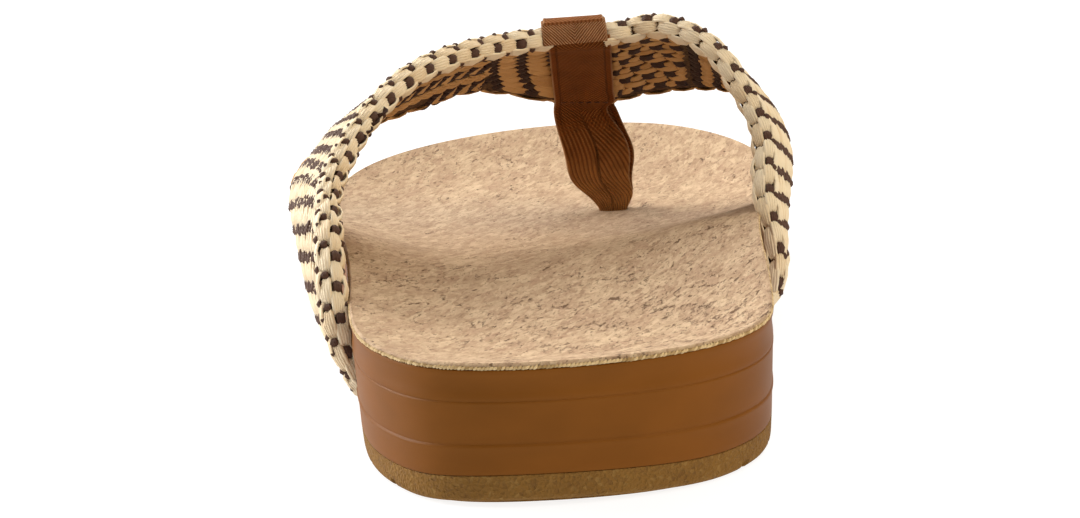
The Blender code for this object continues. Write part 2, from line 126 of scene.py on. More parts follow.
BAND = tuple(BandRow(*row) for row in (
    (-31.5, 48.5, 7.4, -34.8, 86.0, 7.4, 3.2), (-34.9, 48.5, 8.4, -38.4, 86.5, 8.4, 3.2),
    (-37.4, 49.0, 11.8, -42.9, 88.5, 12.0, 3.4), (-39.5, 51.5, 18.5, -46.9, 95.0, 19.0, 4.6),
    (-40.5, 56.5, 26.0, -49.0, 102.5, 26.5, 5.0), (-41.0, 65.0, 34.0, -50.1, 110.0, 34.0, 4.9),
    (-41.3, 76.0, 38.5, -46.3, 121.0, 38.4, 4.6), (-38.2, 90.0, 44.6, -42.8, 132.5, 41.2, 4.6),
    (-28.0, 111.5, 53.4, -34.1, 147.0, 42.1, 4.6), (-14.1, 129.0, 56.2, -19.4, 162.5, 44.5, 4.6),
    (-4.3, 137.5, 56.4, -7.5, 171.0, 42.2, 4.6), (4.6, 141.5, 56.6, 5.4, 174.5, 39.4, 4.6),
    (13.7, 143.0, 56.6, 14.6, 176.0, 40.0, 4.6), (21.8, 141.5, 57.6, 24.2, 175.5, 41.2, 4.6),
    (30.8, 136.0, 53.5, 34.4, 170.0, 41.6, 4.6), (36.6, 130.5, 45.2, 41.4, 162.5, 39.2, 4.6),
    (39.8, 124.0, 36.8, 46.0, 156.0, 31.6, 4.8), (39.1, 115.5, 28.0, 45.9, 150.5, 23.5, 4.8),
    (40.05, 108.5, 18.0, 43.9, 147.0, 15.8, 4.2), (39.6, 107.0, 10.6, 43.6, 145.5, 10.2, 3.6),
    (36.6, 106.5, 7.9, 41.6, 145.5, 7.9, 3.2), (32.0, 106.5, 7.4, 36.8, 146.0, 7.4, 3.2),
))


class StemRow(NamedTuple):
    """Middle of the toe tape below the band, its width and thickness, and its turn in degrees."""

    across: float
    along: float
    up: float
    width: float
    thickness: float
    turn: float


STEM = tuple(StemRow(*row) for row in (
    (6.0, 175.2, 36.9, 14.0, 2.4, 12.0), (7.0, 176.6, 33.0, 14.8, 2.6, 10.0),
    (8.8, 178.3, 26.0, 15.2, 2.8, 6.0), (9.2, 179.3, 20.5, 12.8, 3.0, 2.0),
    (10.8, 180.0, 17.2, 9.4, 3.8, 0.0), (11.2, 180.1, 14.6, 6.2, 4.4, 0.0),
    (11.2, 180.1, 10.0, 6.0, 4.2, 0.0),
))


class CourseRow(NamedTuple):
    """Length of a course of the weave, and how far it slips over the face, along the band."""

    run: float
    length: float
    skew: float


COURSES = tuple(CourseRow(*row) for row in (
    (0.0, 6.0, -7.0), (35.0, 6.1, -10.0), (60.0, 6.3, -13.0), (78.0, 7.2, -14.0),
    (102.0, 6.9, -10.0), (125.0, 6.3, -2.0), (146.0, 5.3, 2.0), (182.0, 5.3, 6.0),
    (196.0, 6.2, 7.0), (226.0, 6.5, 7.0),
))

CHANNELS_ALONG = (18.0, 31.0, 44.0, 57.0, 70.0, 132.0, 145.0, 158.0, 171.0, 184.0, 197.0,
                  210.0, 223.0)


# ---- curves

class Spline:
    """Cubic curve through a table's rows, natural at its ends, or closed."""

    def __init__(self, knots: Sequence[float], values: Iterable, period: float | None = None):
        """Solve the curve's bends.

        Args:
            knots: places of the rows, rising.
            values: a number or a tuple for each row.
            period: length after which a closed curve repeats.
        """
        places = np.array(knots, dtype=float)
        heights = np.array(list(values), dtype=float)
        self.flat = heights.ndim == 1
        heights = heights.reshape(len(places), -1)
        if period is not None:
            places = np.append(places, places[0] + period)
            heights = np.concatenate([heights, heights[:1]])
        last = len(places) - 1
        gaps = np.diff(places)
        slopes = np.diff(heights, axis=0) / gaps[:, None]
        matrix = np.zeros((last + 1, last + 1))
        right = np.zeros_like(heights)
        for i in range(1, last):
            matrix[i, i - 1:i + 2] = gaps[i - 1], 2.0 * (gaps[i - 1] + gaps[i]), gaps[i]
            right[i] = 6.0 * (slopes[i] - slopes[i - 1])
        matrix[0, 0] = 1.0
        matrix[last, last] = 1.0
        if period is not None:
            matrix[0, last] = -1.0
            matrix[last, 0] = 2.0 * gaps[0]
            matrix[last, 1] = gaps[0]
            matrix[last, last - 1] = gaps[last - 1]
            matrix[last, last] = 2.0 * gaps[last - 1]
            right[last] = 6.0 * (slopes[0] - slopes[last - 1])
        self.places, self.heights = places, heights
        self.bends = np.linalg.solve(matrix, right)

    def __call__(self, place: Any) -> Array:
        """Values at one place or at an array of places.

        Args:
            place: where on the curve, a number or an array.

        Returns:
            The values, one row for each place.
        """
        place = np.asarray(place, dtype=float)
        i = np.clip(np.searchsorted(self.places, place) - 1, 0, len(self.places) - 2)
        gap = (self.places[i + 1] - self.places[i])[..., None]
        before = (self.places[i + 1] - place)[..., None] / gap
        after = 1.0 - before
        curve = (before ** 3 - before) * self.bends[i] + (after ** 3 - after) * self.bends[i + 1]
        result = before * self.heights[i] + after * self.heights[i + 1] + curve * gap * gap / 6.0
        return result[..., 0] if self.flat else result


def unit(vectors: Array) -> Array:
    """The vectors, each scaled to length 1."""
    return vectors / np.linalg.norm(vectors, axis=-1, keepdims=True)


def travelled(line: Array) -> Array:
    """Length travelled along a line of points."""
    return np.concatenate([[0.0], np.cumsum(np.linalg.norm(np.diff(line, axis=0), axis=1))])


def bump_window(value: Array, middle: float, half_width: float) -> Array:
    """Smooth bump: 1 at the middle, falling to nothing over about two half widths."""
    return np.exp(-((value - middle) / half_width) ** 2)


@dataclass
class SoleShape:
    """Plan, contour and thicknesses of the sole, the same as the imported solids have."""

    length: float = 257.0
    outsole_thickness: float = 4.3
    toe_spring: float = 6.6
    toe_spring_start: float = 182.0
    heel_lift: float = 0.9
    heel_lift_start: float = 12.0
    wall_taper: float = 1.2
    cup_width: float = 24.0
    arch_rise: float = 1.7
    arch_across: float = 27.0
    arch_along: float = 108.0
    arch_half_width: float = 13.0
    arch_half_length: float = 36.0
    step_slant: float = 0.85
    step_peak_across: float = -13.0
    step_peak_round: float = 8.0
    step_shift: float = 6.8
    step_along: float = 108.0
    step_half_length: float = 42.0
    ring_points: int = 240
    edge_across: Spline = field(init=False)
    rim: Spline = field(init=False)
    middle: Spline = field(init=False)
    ring: Array = field(init=False)

    def __post_init__(self) -> None:
        """Turn the tables into curves."""
        outer = [(-self.turn_of(row.along), row.outer) for row in OUTLINE[:0:-1]]
        inner = [(self.turn_of(row.along), row.inner) for row in OUTLINE[:-1]]
        turns, across = zip(*(outer + inner))
        self.edge_across = Spline(turns, across, period=2.0 * math.pi)
        self.rim = Spline([row.along for row in HEIGHTS], [row.rim for row in HEIGHTS])
        self.middle = Spline([row.along for row in HEIGHTS], [row.middle for row in HEIGHTS])
        self.ring = self.edge(np.linspace(-math.pi, math.pi, self.ring_points + 1)[:-1])

    def turn_of(self, along: float) -> float:
        """Angle for a place along the sole: 0 at the heel's back, pi at the toe."""
        return math.acos(1.0 - 2.0 * along / self.length)

    def edge(self, turn: Array) -> Array:
        """Plan points of the edge: inner side for turns above 0, outer side below."""
        return np.stack([self.edge_across(turn), 0.5 * self.length * (1.0 - np.cos(turn))], -1)

    def inset_edge(self, turn: Array, inset: Any) -> Array:
        """Plan points of the edge, moved inwards by the inset.

        Args:
            turn: angles round the edge.
            inset: how far, in millimetres.

        Returns:
            The plan points.
        """
        step = 0.002
        before = self.edge(np.maximum(turn - step, -math.pi))
        after = self.edge(np.minimum(turn + step, math.pi))
        run = unit(after - before)
        inwards = np.stack([-run[..., 1], run[..., 0]], -1)
        return self.edge(turn) + inwards * np.broadcast_to(inset, np.shape(turn))[..., None]

    def distance_inside(self, points: Array) -> Array:
        """Distance from plan points to the sole's edge.

        Args:
            points: plan points.

        Returns:
            One distance for each point.
        """
        spans = np.roll(self.ring, -1, axis=0) - self.ring
        offsets = points[:, None, :] - self.ring[None]
        shares = np.clip((offsets * spans).sum(-1) / (spans * spans).sum(-1), 0.0, 1.0)
        return np.linalg.norm(offsets - spans * shares[..., None], axis=-1).min(-1)

    def floor_lift(self, along: Array) -> Array:
        """Height of the tread: flat, rising to the toe and a little at the heel.

        Args:
            along: places along the sole.

        Returns:
            One height for each place.
        """
        toe = (along - self.toe_spring_start) / (self.length - self.toe_spring_start)
        heel = np.maximum(0.0, (self.heel_lift_start - along) / self.heel_lift_start)
        return self.toe_spring * np.maximum(0.0, toe) ** 2 + self.heel_lift * heel ** 2

    def outsole_top(self, along: Array) -> Array:
        """Height of the joint between outsole and midsole."""
        return self.floor_lift(along) + self.outsole_thickness

    def footbed_top(self, points: Array) -> Array:
        """Heights of the footbed: rim, cup, step to the forefoot, inner arch.

        Args:
            points: plan points.

        Returns:
            One height for each point.
        """
        slant = np.hypot(points[:, 0] - self.step_peak_across, self.step_peak_round)
        slant = self.step_slant * slant - self.step_shift
        along = np.clip(points[:, 1], 0.0, self.length)
        shifted = along - slant * bump_window(along, self.step_along, self.step_half_length)
        rim = self.rim(along)
        middle = self.middle(np.maximum(shifted, 0.0))
        inside = np.minimum(self.distance_inside(points) / self.cup_width, 1.0)
        arch = (self.arch_rise * bump_window(points[:, 0], self.arch_across, self.arch_half_width)
                * bump_window(along, self.arch_along, self.arch_half_length)
                * (1.0 - (1.0 - inside) ** 4))
        return middle + (rim - middle) * (1.0 - inside) ** 2 + arch

    def wall_inset(self, share: Array) -> Array:
        """Inset of the sidewall: none at the rim, the whole taper at the floor."""
        return self.wall_taper * (1.0 - share)


class Side(Enum):
    """Parts of the band's section."""

    ROLL = "rolled back edge"
    INNER = "face to the foot"
    FRONT = "front edge"
    OUTER = "outer face"


class Spot(NamedTuple):
    """A place on the band's section: an angle on an edge, a share of the width on a face."""

    side: Side
    value: Any


@dataclass
class BandShape:
    """Surface of the band, from its outer slot over the foot to its inner slot."""

    thickness: float = 3.2
    crown: float = 1.2
    end_rows: float = 4.0
    first_course: float = 0.31
    table: Spline = field(init=False)
    last: float = field(init=False)
    fine: Array = field(init=False)
    run: Array = field(init=False)
    courses: Array = field(init=False)

    def __post_init__(self) -> None:
        """Turn the table into a curve, measure its back edge and count the courses on it."""
        self.last = len(BAND) - 1.0
        self.table = Spline(list(range(len(BAND))), BAND)
        self.fine = np.linspace(0.0, self.last, 2001)
        self.run = travelled(self.table(self.fine)[:, 0:3])
        lengths = np.interp(self.run, [row.run for row in COURSES], [row.length for row in COURSES])
        steps = np.diff(self.run) / lengths[1:]
        self.courses = np.concatenate([[0.0], np.cumsum(steps)]) + self.first_course

    def place_at(self, run: Any) -> Array:
        """Place, counted in rows, at a length along the band's back edge."""
        return np.interp(run, self.run, self.fine)

    def run_of_course(self, course: Any) -> Array:
        """Length along the back edge at a number of courses."""
        return np.interp(course, self.courses, self.run)

    def skew(self, run: Any) -> Array:
        """How far the courses slip along the band from its back edge to its front edge."""
        return np.interp(run, [row.run for row in COURSES], [row.skew for row in COURSES])

    def frames(self, place: Array) -> tuple[Array, ...]:
        """What the section is built on at places along the band.

        Args:
            place: places along the band, in rows.

        Returns:
            Back points, widths, directions over the band and outwards, and roll radii.
        """
        step = 0.02
        rows = self.table(place)
        low = self.table(np.maximum(place - step, 0.0))
        high = self.table(np.minimum(place + step, self.last))
        back, front = rows[..., 0:3], rows[..., 3:6]
        run = unit(high[..., 0:3] + high[..., 3:6] - low[..., 0:3] - low[..., 3:6])
        over = unit(front - back)
        outward = unit(np.cross(run, over))
        width = np.linalg.norm(front - back, axis=-1)
        return back, width, over, outward, 0.5 * rows[..., 6]

    def point(self, place: Any, spot: Spot, swell: Any = 0.0) -> tuple[Array, Array]:
        """Points of the surface and their outward directions.

        Args:
            place: places along the band, in rows.
            spot: where on the section.
            swell: distance outside the surface.

        Returns:
            Points and unit normals, one row for each place.
        """
        place = np.asarray(place, dtype=float)
        back, width, over, outward, roll = self.frames(place)
        half = 0.5 * self.thickness + swell
        fade = np.minimum(np.minimum(place, self.last - place) / self.end_rows, 1.0)
        if spot.side in (Side.ROLL, Side.FRONT):
            turn = math.radians(spot.value)
            radius = roll + swell if spot.side is Side.ROLL else half + 0.0 * place
            start = 0.0 * width if spot.side is Side.ROLL else width
            ahead, up = start + radius * math.cos(turn), radius * math.sin(turn)
            normal = over * math.cos(turn) + outward * math.sin(turn)
        else:
            sign = 1.0 if spot.side is Side.OUTER else -1.0
            share = spot.value
            arc = self.crown * fade * 4.0 * share * (1.0 - share)
            ahead, up = share * width, sign * half + arc
            slope = self.crown * fade * 4.0 * (1.0 - 2.0 * share) / width
            normal = unit(outward - over * slope[..., None]) * sign
        return back + over * ahead[..., None] + outward * np.asarray(up)[..., None], normal

    def section(self, roll_steps: int, face_steps: int, front_steps: int) -> list[Spot]:
        """Spots round the whole section, in order.

        Args:
            roll_steps: spots on the rolled edge.
            face_steps: spots on each face.
            front_steps: spots on the front edge.

        Returns:
            The spots.
        """
        shares = np.linspace(0.07, 0.94, face_steps)
        spots = [Spot(Side.ROLL, angle) for angle in np.linspace(60.0, 300.0, roll_steps)]
        spots += [Spot(Side.INNER, share) for share in shares]
        spots += [Spot(Side.FRONT, angle) for angle in np.linspace(-80.0, 80.0, front_steps)]
        spots += [Spot(Side.OUTER, share) for share in shares[::-1]]
        return spots


# ---- meshes

def make_piece(name: str, points: Array, faces: Iterable[Sequence[int]],
               finish: Material | None, uv: Array | None = None,
               sharp: float = 40.0) -> Piece:
    """Make a smooth piece with its faces turned outwards.

    Args:
        name: the object's name.
        points: points in millimetres.
        faces: corner numbers of each face.
        finish: material, or None for a cutter.
        uv: a map point for each point, in millimetres.
        sharp: degrees past which an edge stays sharp.

    Returns:
        The piece, its object at the origin.
    """
    mesh = bpy.data.meshes.new(name)
    mesh.from_pydata(((np.asarray(points) - ORIGIN) * MM).tolist(), [], [list(f) for f in faces])
    if uv is not None:
        layer = mesh.uv_layers.new(name="weave")
        corners = np.zeros(len(mesh.loops), dtype=np.int64)
        mesh.loops.foreach_get("vertex_index", corners)
        layer.data.foreach_set("uv", np.asarray(uv, dtype=np.float32)[corners].ravel())
    built = bmesh.new()
    built.from_mesh(mesh)
    if uv is None:
        bmesh.ops.remove_doubles(built, verts=built.verts, dist=0.000002)
    bmesh.ops.dissolve_degenerate(built, edges=built.edges, dist=0.000001)
    bmesh.ops.recalc_face_normals(built, faces=built.faces)
    built.to_mesh(mesh)
    built.free()
    mesh.shade_smooth()
    mesh.set_sharp_from_angle(angle=math.radians(sharp))
    piece = bpy.data.objects.new(name, mesh)
    bpy.context.scene.collection.objects.link(piece)
    if finish is not None:
        mesh.materials.append(finish)
    return piece


def settle(piece: Piece) -> None:
    """Give a piece its evaluated mesh and drop its modifiers.

    Args:
        piece: a piece with modifiers.
    """
    graph = bpy.context.evaluated_depsgraph_get()
    mesh = bpy.data.meshes.new_from_object(piece.evaluated_get(graph))
    piece.modifiers.clear()
    piece.data = mesh


def carve(piece: Piece, cutters: Sequence[Piece], sharp: float) -> None:
    """Cut solids out of a piece and delete them.

    Args:
        piece: what is cut.
        cutters: closed solids.
        sharp: degrees past which an edge stays sharp.
    """
    for cutter in cutters:
        modifier = piece.modifiers.new("carve", "BOOLEAN")
        modifier.operation = "DIFFERENCE"
        modifier.solver = "EXACT"
        modifier.object = cutter
    settle(piece)
    piece.data.shade_smooth()
    piece.data.set_sharp_from_angle(angle=math.radians(sharp))
    for cutter in cutters:
        bpy.data.objects.remove(cutter, do_unlink=True)


def ring_faces(rows: int, count: int, closed_rows: bool = False) -> list[tuple[int, ...]]:
    """Quads that join rings of equal length.

    Args:
        rows: number of rings.
        count: points in a ring.
        closed_rows: whether the last ring joins the first.

    Returns:
        Corner numbers of each face.
    """
    faces = []
    for row in range(rows if closed_rows else rows - 1):
        this, after = row * count, (row + 1) % rows * count
        for i in range(count):
            j = (i + 1) % count
            faces.append((this + i, this + j, after + j, after + i))
    return faces


def loft(rings: Array, closed_rows: bool = False) -> tuple[Array, list[tuple[int, ...]]]:
    """Skin over rings, capped at its ends unless it closes on itself.

    Args:
        rings: points, by ring and place in the ring.
        closed_rows: whether the last ring joins the first.

    Returns:
        Points, and corner numbers of each face.
    """
    rows, count = rings.shape[:2]
    faces = ring_faces(rows, count, closed_rows)
    if not closed_rows:
        faces.append(tuple(range(count)))
        faces.append(tuple(range((rows - 1) * count, rows * count)))
    return rings.reshape(-1, 3), faces


WallRow = Callable[[Array], tuple[Any, Any]]


@dataclass
class SoleLayer:
    """Solid with the sole's plan: a wall in rows and two contoured faces."""

    shape: SoleShape
    rows: int
    columns: int

    def build(self, name: str, upper: Callable[[Array], Array], lower: Callable[[Array], Array],
              wall: Sequence[WallRow], finish: Material, sharp: float) -> Piece:
        """Make the solid.

        Args:
            name: the piece's name.
            upper: heights of the upper face at plan points.
            lower: heights of the lower face at plan points.
            wall: rows from top to bottom.
            finish: the material.
            sharp: degrees past which an edge stays sharp.

        Returns:
            The piece.
        """
        turns = math.pi * np.arange(self.rows + 1) / self.rows
        shares = 0.5 - 0.5 * np.cos(math.pi * np.arange(self.columns + 1) / self.columns)
        turns_round = np.concatenate([turns, -turns[-2:0:-1]])
        edge = self.shape.edge(turns_round)
        count = len(turns_round)
        rings = []
        for row in wall:
            inset, height = row(edge)
            plan = self.shape.inset_edge(turns_round, inset)
            rings.append(np.column_stack([plan, np.broadcast_to(height, count)]))
        blocks = [np.concatenate(rings)]
        faces = ring_faces(len(wall), count)
        total = len(blocks[0])
        for row, height_of in ((0, upper), (len(wall) - 1, lower)):
            base = row * count
            inner = base + np.arange(1, self.rows)
            outer = base + (-np.arange(1, self.rows)) % count
            start, end = blocks[0][outer], blocks[0][inner]
            inside = start[:, None] + (end - start)[:, None] * shares[None, 1:-1, None]
            inside = inside.reshape(-1, 3)
            inside[:, 2] = height_of(inside[:, :2])
            ids = total + np.arange(len(inside)).reshape(self.rows - 1, self.columns - 1)
            total += len(inside)
            blocks.append(inside)
            grid = [[base] * (self.columns + 1)]
            grid += [[outer[k], *ids[k], inner[k]] for k in range(self.rows - 1)]
            grid += [[base + self.rows] * (self.columns + 1)]
            for near, far in zip(grid, grid[1:]):
                for column in range(self.columns):
                    corners = (near[column], near[column + 1], far[column + 1], far[column])
                    faces.append(tuple(dict.fromkeys(int(c) for c in corners)))
        return make_piece(name, np.concatenate(blocks), faces, finish, sharp=sharp)


# ---- shader graphs

class Value:
    """One socket of a shader graph; arithmetic on it adds Math nodes."""

    def __init__(self, graph: "Graph", socket: Socket):
        """Wrap an output socket."""
        self.graph = graph
        self.socket = socket

    def _math(self, operation: str, *values: Any) -> "Value":
        """Add one Math node."""
        return self.graph.node("ShaderNodeMath", {"operation": operation}, dict(enumerate(values)))

    def __add__(self, other: Any) -> "Value":
        """Sum."""
        return self._math("ADD", self, other)

    __radd__ = __add__

    def __sub__(self, other: Any) -> "Value":
        """Difference."""
        return self._math("SUBTRACT", self, other)

    def __rsub__(self, other: Any) -> "Value":
        """Difference from a number."""
        return self._math("SUBTRACT", other, self)

    def __mul__(self, other: Any) -> "Value":
        """Product."""
        return self._math("MULTIPLY", self, other)

    __rmul__ = __mul__

    def __abs__(self) -> "Value":
        """Distance from zero."""
        return self._math("ABSOLUTE", self)

    def sine(self) -> "Value":
        """Sine of the value in radians."""
        return self._math("SINE", self)

    def largest(self, other: Any) -> "Value":
        """The larger of two values."""
        return self._math("MAXIMUM", self, other)


class Graph:
    """Node tree of one material, ending in a Principled shader."""

    def __init__(self, name: str):
        """Make the material and its shader.

        Args:
            name: the material's name.
        """
        self.material = bpy.data.materials.new(name)
        self.material.use_nodes = True
        self.tree = self.material.node_tree
        self.shader = self.tree.nodes["Principled BSDF"]

    def node(self, kind: str, settings: dict[str, Any] | None = None,
             inputs: dict[Any, Any] | None = None, output: Any = 0) -> Value:
        """Add a node.

        Args:
            kind: the node's type.
            settings: its properties, and "stops" for a ramp's (place, colour) list.
            inputs: numbers or links, by socket name or number.
            output: name or number of the socket that is wanted.

        Returns:
            The wanted output.
        """
        node = self.tree.nodes.new(kind)
        for key, value in (settings or {}).items():
            if key == "stops":
                self._set_stops(node.color_ramp, value)
            else:
                setattr(node, key, value)
        for key, value in (inputs or {}).items():
            if isinstance(value, Value):
                self.tree.links.new(value.socket, node.inputs[key])
            else:
                node.inputs[key].default_value = value
        return Value(self, node.outputs[output])

    @staticmethod
    def _set_stops(ramp: bpy.types.ColorRamp, stops: Sequence[tuple[float, Colour]]) -> None:
        """Give a ramp its colours.

        Args:
            ramp: the ramp.
            stops: places and colours.
        """
        while len(ramp.elements) < len(stops):
            ramp.elements.new(0.5)
        for element, (place, colour) in zip(ramp.elements, stops):
            element.position = place
            element.color = (*colour, 1.0)

    def millimetres(self) -> Value:
        """Object coordinates in millimetres.

        Returns:
            The place.
        """
        place = self.node("ShaderNodeTexCoord", output="Object")
        return self.node("ShaderNodeVectorMath", {"operation": "SCALE"},
                         {0: place, "Scale": 1.0 / MM})

    def stretched(self, place: Value, factors: Sequence[float]) -> Value:
        """A place with each of its coordinates multiplied by a factor."""
        return self.node("ShaderNodeVectorMath", {"operation": "MULTIPLY"},
                         {0: place, 1: tuple(factors)})

    def axis(self, place: Value, axis: str) -> Value:
        """One coordinate of a place."""
        return self.node("ShaderNodeSeparateXYZ", None, {0: place}, axis)

    def noise(self, place: Value, size: float, detail: float = 2.0, rough: float = 0.5,
              output: str = "Fac") -> Value:
        """Cloudy noise with lumps of about the given size.

        Args:
            place: where it is read.
            size: size of a lump in millimetres.
            detail: number of finer layers.
            rough: strength of the finer layers.
            output: Fac or Color.

        Returns:
            The noise.
        """
        return self.node("ShaderNodeTexNoise", None,
                         {"Vector": place, "Scale": 1.0 / size, "Detail": detail,
                          "Roughness": rough}, output)

    def cells(self, place: Value, size: float, output: str = "Distance") -> Value:
        """Irregular cells of about the given size."""
        return self.node("ShaderNodeTexVoronoi", None,
                         {"Vector": place, "Scale": 1.0 / size}, output)

    def wobbled(self, place: Value, size: float, reach: float) -> Value:
        """A place pushed about by noise.

        Args:
            place: the place.
            size: size of the noise's lumps.
            reach: how far a point is pushed at most.

        Returns:
            The new place.
        """
        push = self.noise(place, size, 1.0, output="Color")
        push = self.node("ShaderNodeVectorMath", {"operation": "SUBTRACT"},
                         {0: push, 1: (0.5, 0.5, 0.5)})
        push = self.node("ShaderNodeVectorMath", {"operation": "SCALE"}, {0: push, "Scale": reach})
        return self.node("ShaderNodeVectorMath", {"operation": "ADD"}, {0: place, 1: push})

    def turned(self, place: Value, angle: float) -> Value:
        """A place turned about the upright axis."""
        return self.node("ShaderNodeVectorRotate", {"rotation_type": "Z_AXIS"},
                         {"Vector": place, "Angle": angle})

    def fade(self, value: Value, low: float, high: float) -> Value:
        """0 below low, 1 above high, smooth between; low may be the larger."""
        return self.node("ShaderNodeMapRange", {"interpolation_type": "SMOOTHSTEP"},
                         {"Value": value, "From Min": low, "From Max": high})

    def ramp(self, value: Value, stops: Sequence[tuple[float, Colour]]) -> Value:
        """Colour from a value."""
        return self.node("ShaderNodeValToRGB", {"stops": stops}, {"Fac": value}, "Color")

    def mix(self, share: Any, first: Any, second: Any) -> Value:
        """Mix two colours.

        Args:
            share: how much of the second.
            first: a colour or a link.
            second: a colour or a link.

        Returns:
            The mixed colour.
        """
        first, second = ((*c, 1.0) if isinstance(c, tuple) and len(c) == 3 else c
                         for c in (first, second))
        return self.node("ShaderNodeMix", {"data_type": "RGBA"},
                         {0: share, 6: first, 7: second}, 2)

    def relief(self, height: Value, depth: float, below: Value | None = None) -> Value:
        """Normal of a relief.

        Args:
            height: 0 to 1 over the surface.
            depth: how deep the relief is, in millimetres.
            below: normal of another relief under this one.

        Returns:
            The normal.
        """
        inputs = {"Height": height, "Distance": depth * MM, "Strength": 1.0}
        if below is not None:
            inputs["Normal"] = below
        return self.node("ShaderNodeBump", None, inputs)

    def finish(self, **sockets: Any) -> Material:
        """Set the shader's sockets, whose names use _ for a space.

        Args:
            sockets: numbers, colours or links, by socket name.

        Returns:
            The material.
        """
        names = {name.lower().replace(" ", "_"): name for name in self.shader.inputs.keys()}
        for key, value in sockets.items():
            socket = self.shader.inputs[names[key]]
            if isinstance(value, Value):
                self.tree.links.new(value.socket, socket)
            else:
                socket.default_value = (*value, 1.0) if isinstance(value, tuple) else value
        return self.material


# ---- finishes

@dataclass(frozen=True)
class CorkFinish:
    """Pressed cork: soft tan, rosy and whitish granules, with dark bark flecks and pits."""

    tan: Colour = (0.480, 0.320, 0.195)
    pale: Colour = (0.690, 0.510, 0.325)
    rosy: Colour = (0.430, 0.262, 0.160)
    deep: Colour = (0.285, 0.160, 0.080)
    bark: Colour = (0.125, 0.058, 0.022)
    grain_turn: float = 0.30
    grain_stretch: float = 0.32

    def build(self) -> Material:
        """Make the material.

        Returns:
            The material.
        """
        g = Graph("cork granules")
        flat = g.millimetres()
        place = g.stretched(g.turned(flat, self.grain_turn), (1.0, self.grain_stretch, 1.0))
        bent = g.wobbled(g.wobbled(place, 3.0, 2.0), 0.8, 0.8)
        pick = g.cells(bent, 1.35, output="Color")
        colour = g.mix(g.fade(g.axis(pick, "X"), 0.55, 0.85) * 0.7, self.tan, self.pale)
        colour = g.mix(g.fade(g.axis(pick, "Y"), 0.62, 0.90) * 0.7, colour, self.rosy)
        colour = g.mix(g.fade(g.axis(pick, "Z"), 0.76, 1.0) * 0.5, colour, self.deep)
        cloud = g.noise(g.wobbled(place, 2.0, 2.0), 3.4, 3.0, 0.6)
        colour = g.mix(0.40, colour, g.mix(g.fade(cloud, 0.38, 0.64), self.tan, self.pale))
        crumb = g.noise(g.wobbled(place, 1.0, 1.0), 0.8, 3.0, 0.65)
        colour = g.mix(g.fade(crumb, 0.48, 0.34) * 0.50, colour, self.deep)
        colour = g.mix(g.fade(crumb, 0.54, 0.68) * 0.55, colour, self.pale)
        crowd = (g.noise(flat, 9.0, 2.0) - 0.5) * 0.22
        heel = g.fade(g.axis(flat, "Y"), 10.0, -90.0) * g.fade(g.axis(flat, "X"), -45.0, 25.0)
        crowd = crowd + heel * 0.045
        coarse = g.noise(g.wobbled(place, 1.2, 1.0), 1.15, 4.0, 0.64)
        flecks = g.fade(coarse + crowd, 0.652, 0.690)
        fine = g.noise(g.wobbled(place, 0.7, 0.8), 0.62, 3.0, 0.6)
        dust = g.fade(fine + crowd, 0.625, 0.68)
        dark = (flecks * 0.85).largest(dust * 0.55)
        colour = g.mix(dark, colour, self.bark)
        normal = g.relief(1.0 - flecks.largest(dust * 0.6), 0.30)
        normal = g.relief(crumb, 0.22, normal)
        return g.finish(base_color=colour, roughness=0.70 + 0.14 * cloud, normal=normal,
                        specular_ior_level=0.20)


@dataclass(frozen=True)
class SidewallFinish:
    """Caramel moulded foam with a satin skin and a few faint rubs."""

    caramel: Colour = (0.220, 0.0755, 0.0100)
    deep: Colour = (0.194, 0.0665, 0.0085)
    rub: Colour = (0.50, 0.28, 0.12)
    rough: float = 0.46

    def build(self) -> Material:
        """Make the material.

        Returns:
            The material.
        """
        g = Graph("caramel satin foam")
        place = g.millimetres()
        cloud = g.noise(g.stretched(place, (1.0, 1.0, 2.0)), 16.0, 3.0)
        colour = g.mix(g.fade(cloud, 0.3, 0.7), self.deep, self.caramel)
        bent = g.wobbled(place, 2.0, 2.0)
        pick = g.axis(g.cells(bent, 7.0, output="Color"), "X")
        rub = g.fade(pick, 0.93, 0.97) * g.fade(g.cells(bent, 7.0), 0.10, 0.03)
        colour = g.mix(rub * 0.4, colour, self.rub)
        normal = g.relief(g.noise(place, 11.0, 1.0), 0.06)
        normal = g.relief(g.noise(place, 0.35, 2.0), 0.010, normal)
        return g.finish(base_color=colour, roughness=self.rough + 0.06 * cloud, normal=normal,
                        specular_ior_level=0.07)


@dataclass(frozen=True)
class CrumbFinish:
    """Khaki crumb rubber, rough and speckled."""

    khaki: Colour = (0.240, 0.118, 0.026)
    dark: Colour = (0.120, 0.052, 0.012)
    light: Colour = (0.360, 0.215, 0.070)

    def build(self) -> Material:
        """Make the material.

        Returns:
            The material.
        """
        g = Graph("khaki crumb rubber")
        place = g.millimetres()
        bent = g.wobbled(place, 0.9, 0.8)
        crumb = g.axis(g.cells(bent, 0.62, output="Color"), "X")
        colour = g.ramp(crumb, ((0.0, self.dark), (0.18, self.khaki), (0.82, self.khaki),
                                (1.0, self.light)))
        colour = g.mix(0.55, colour, self.khaki)
        patch = g.noise(place, 6.0, 3.0)
        colour = g.mix(g.fade(patch, 0.35, 0.75) * 0.25, colour, self.dark)
        bumps = g.cells(bent, 0.62) + 0.6 * g.noise(place, 0.5, 3.0)
        normal = g.relief(bumps, 0.28)
        return g.finish(base_color=colour, roughness=0.75 + 0.2 * crumb, normal=normal,
                        specular_ior_level=0.15)


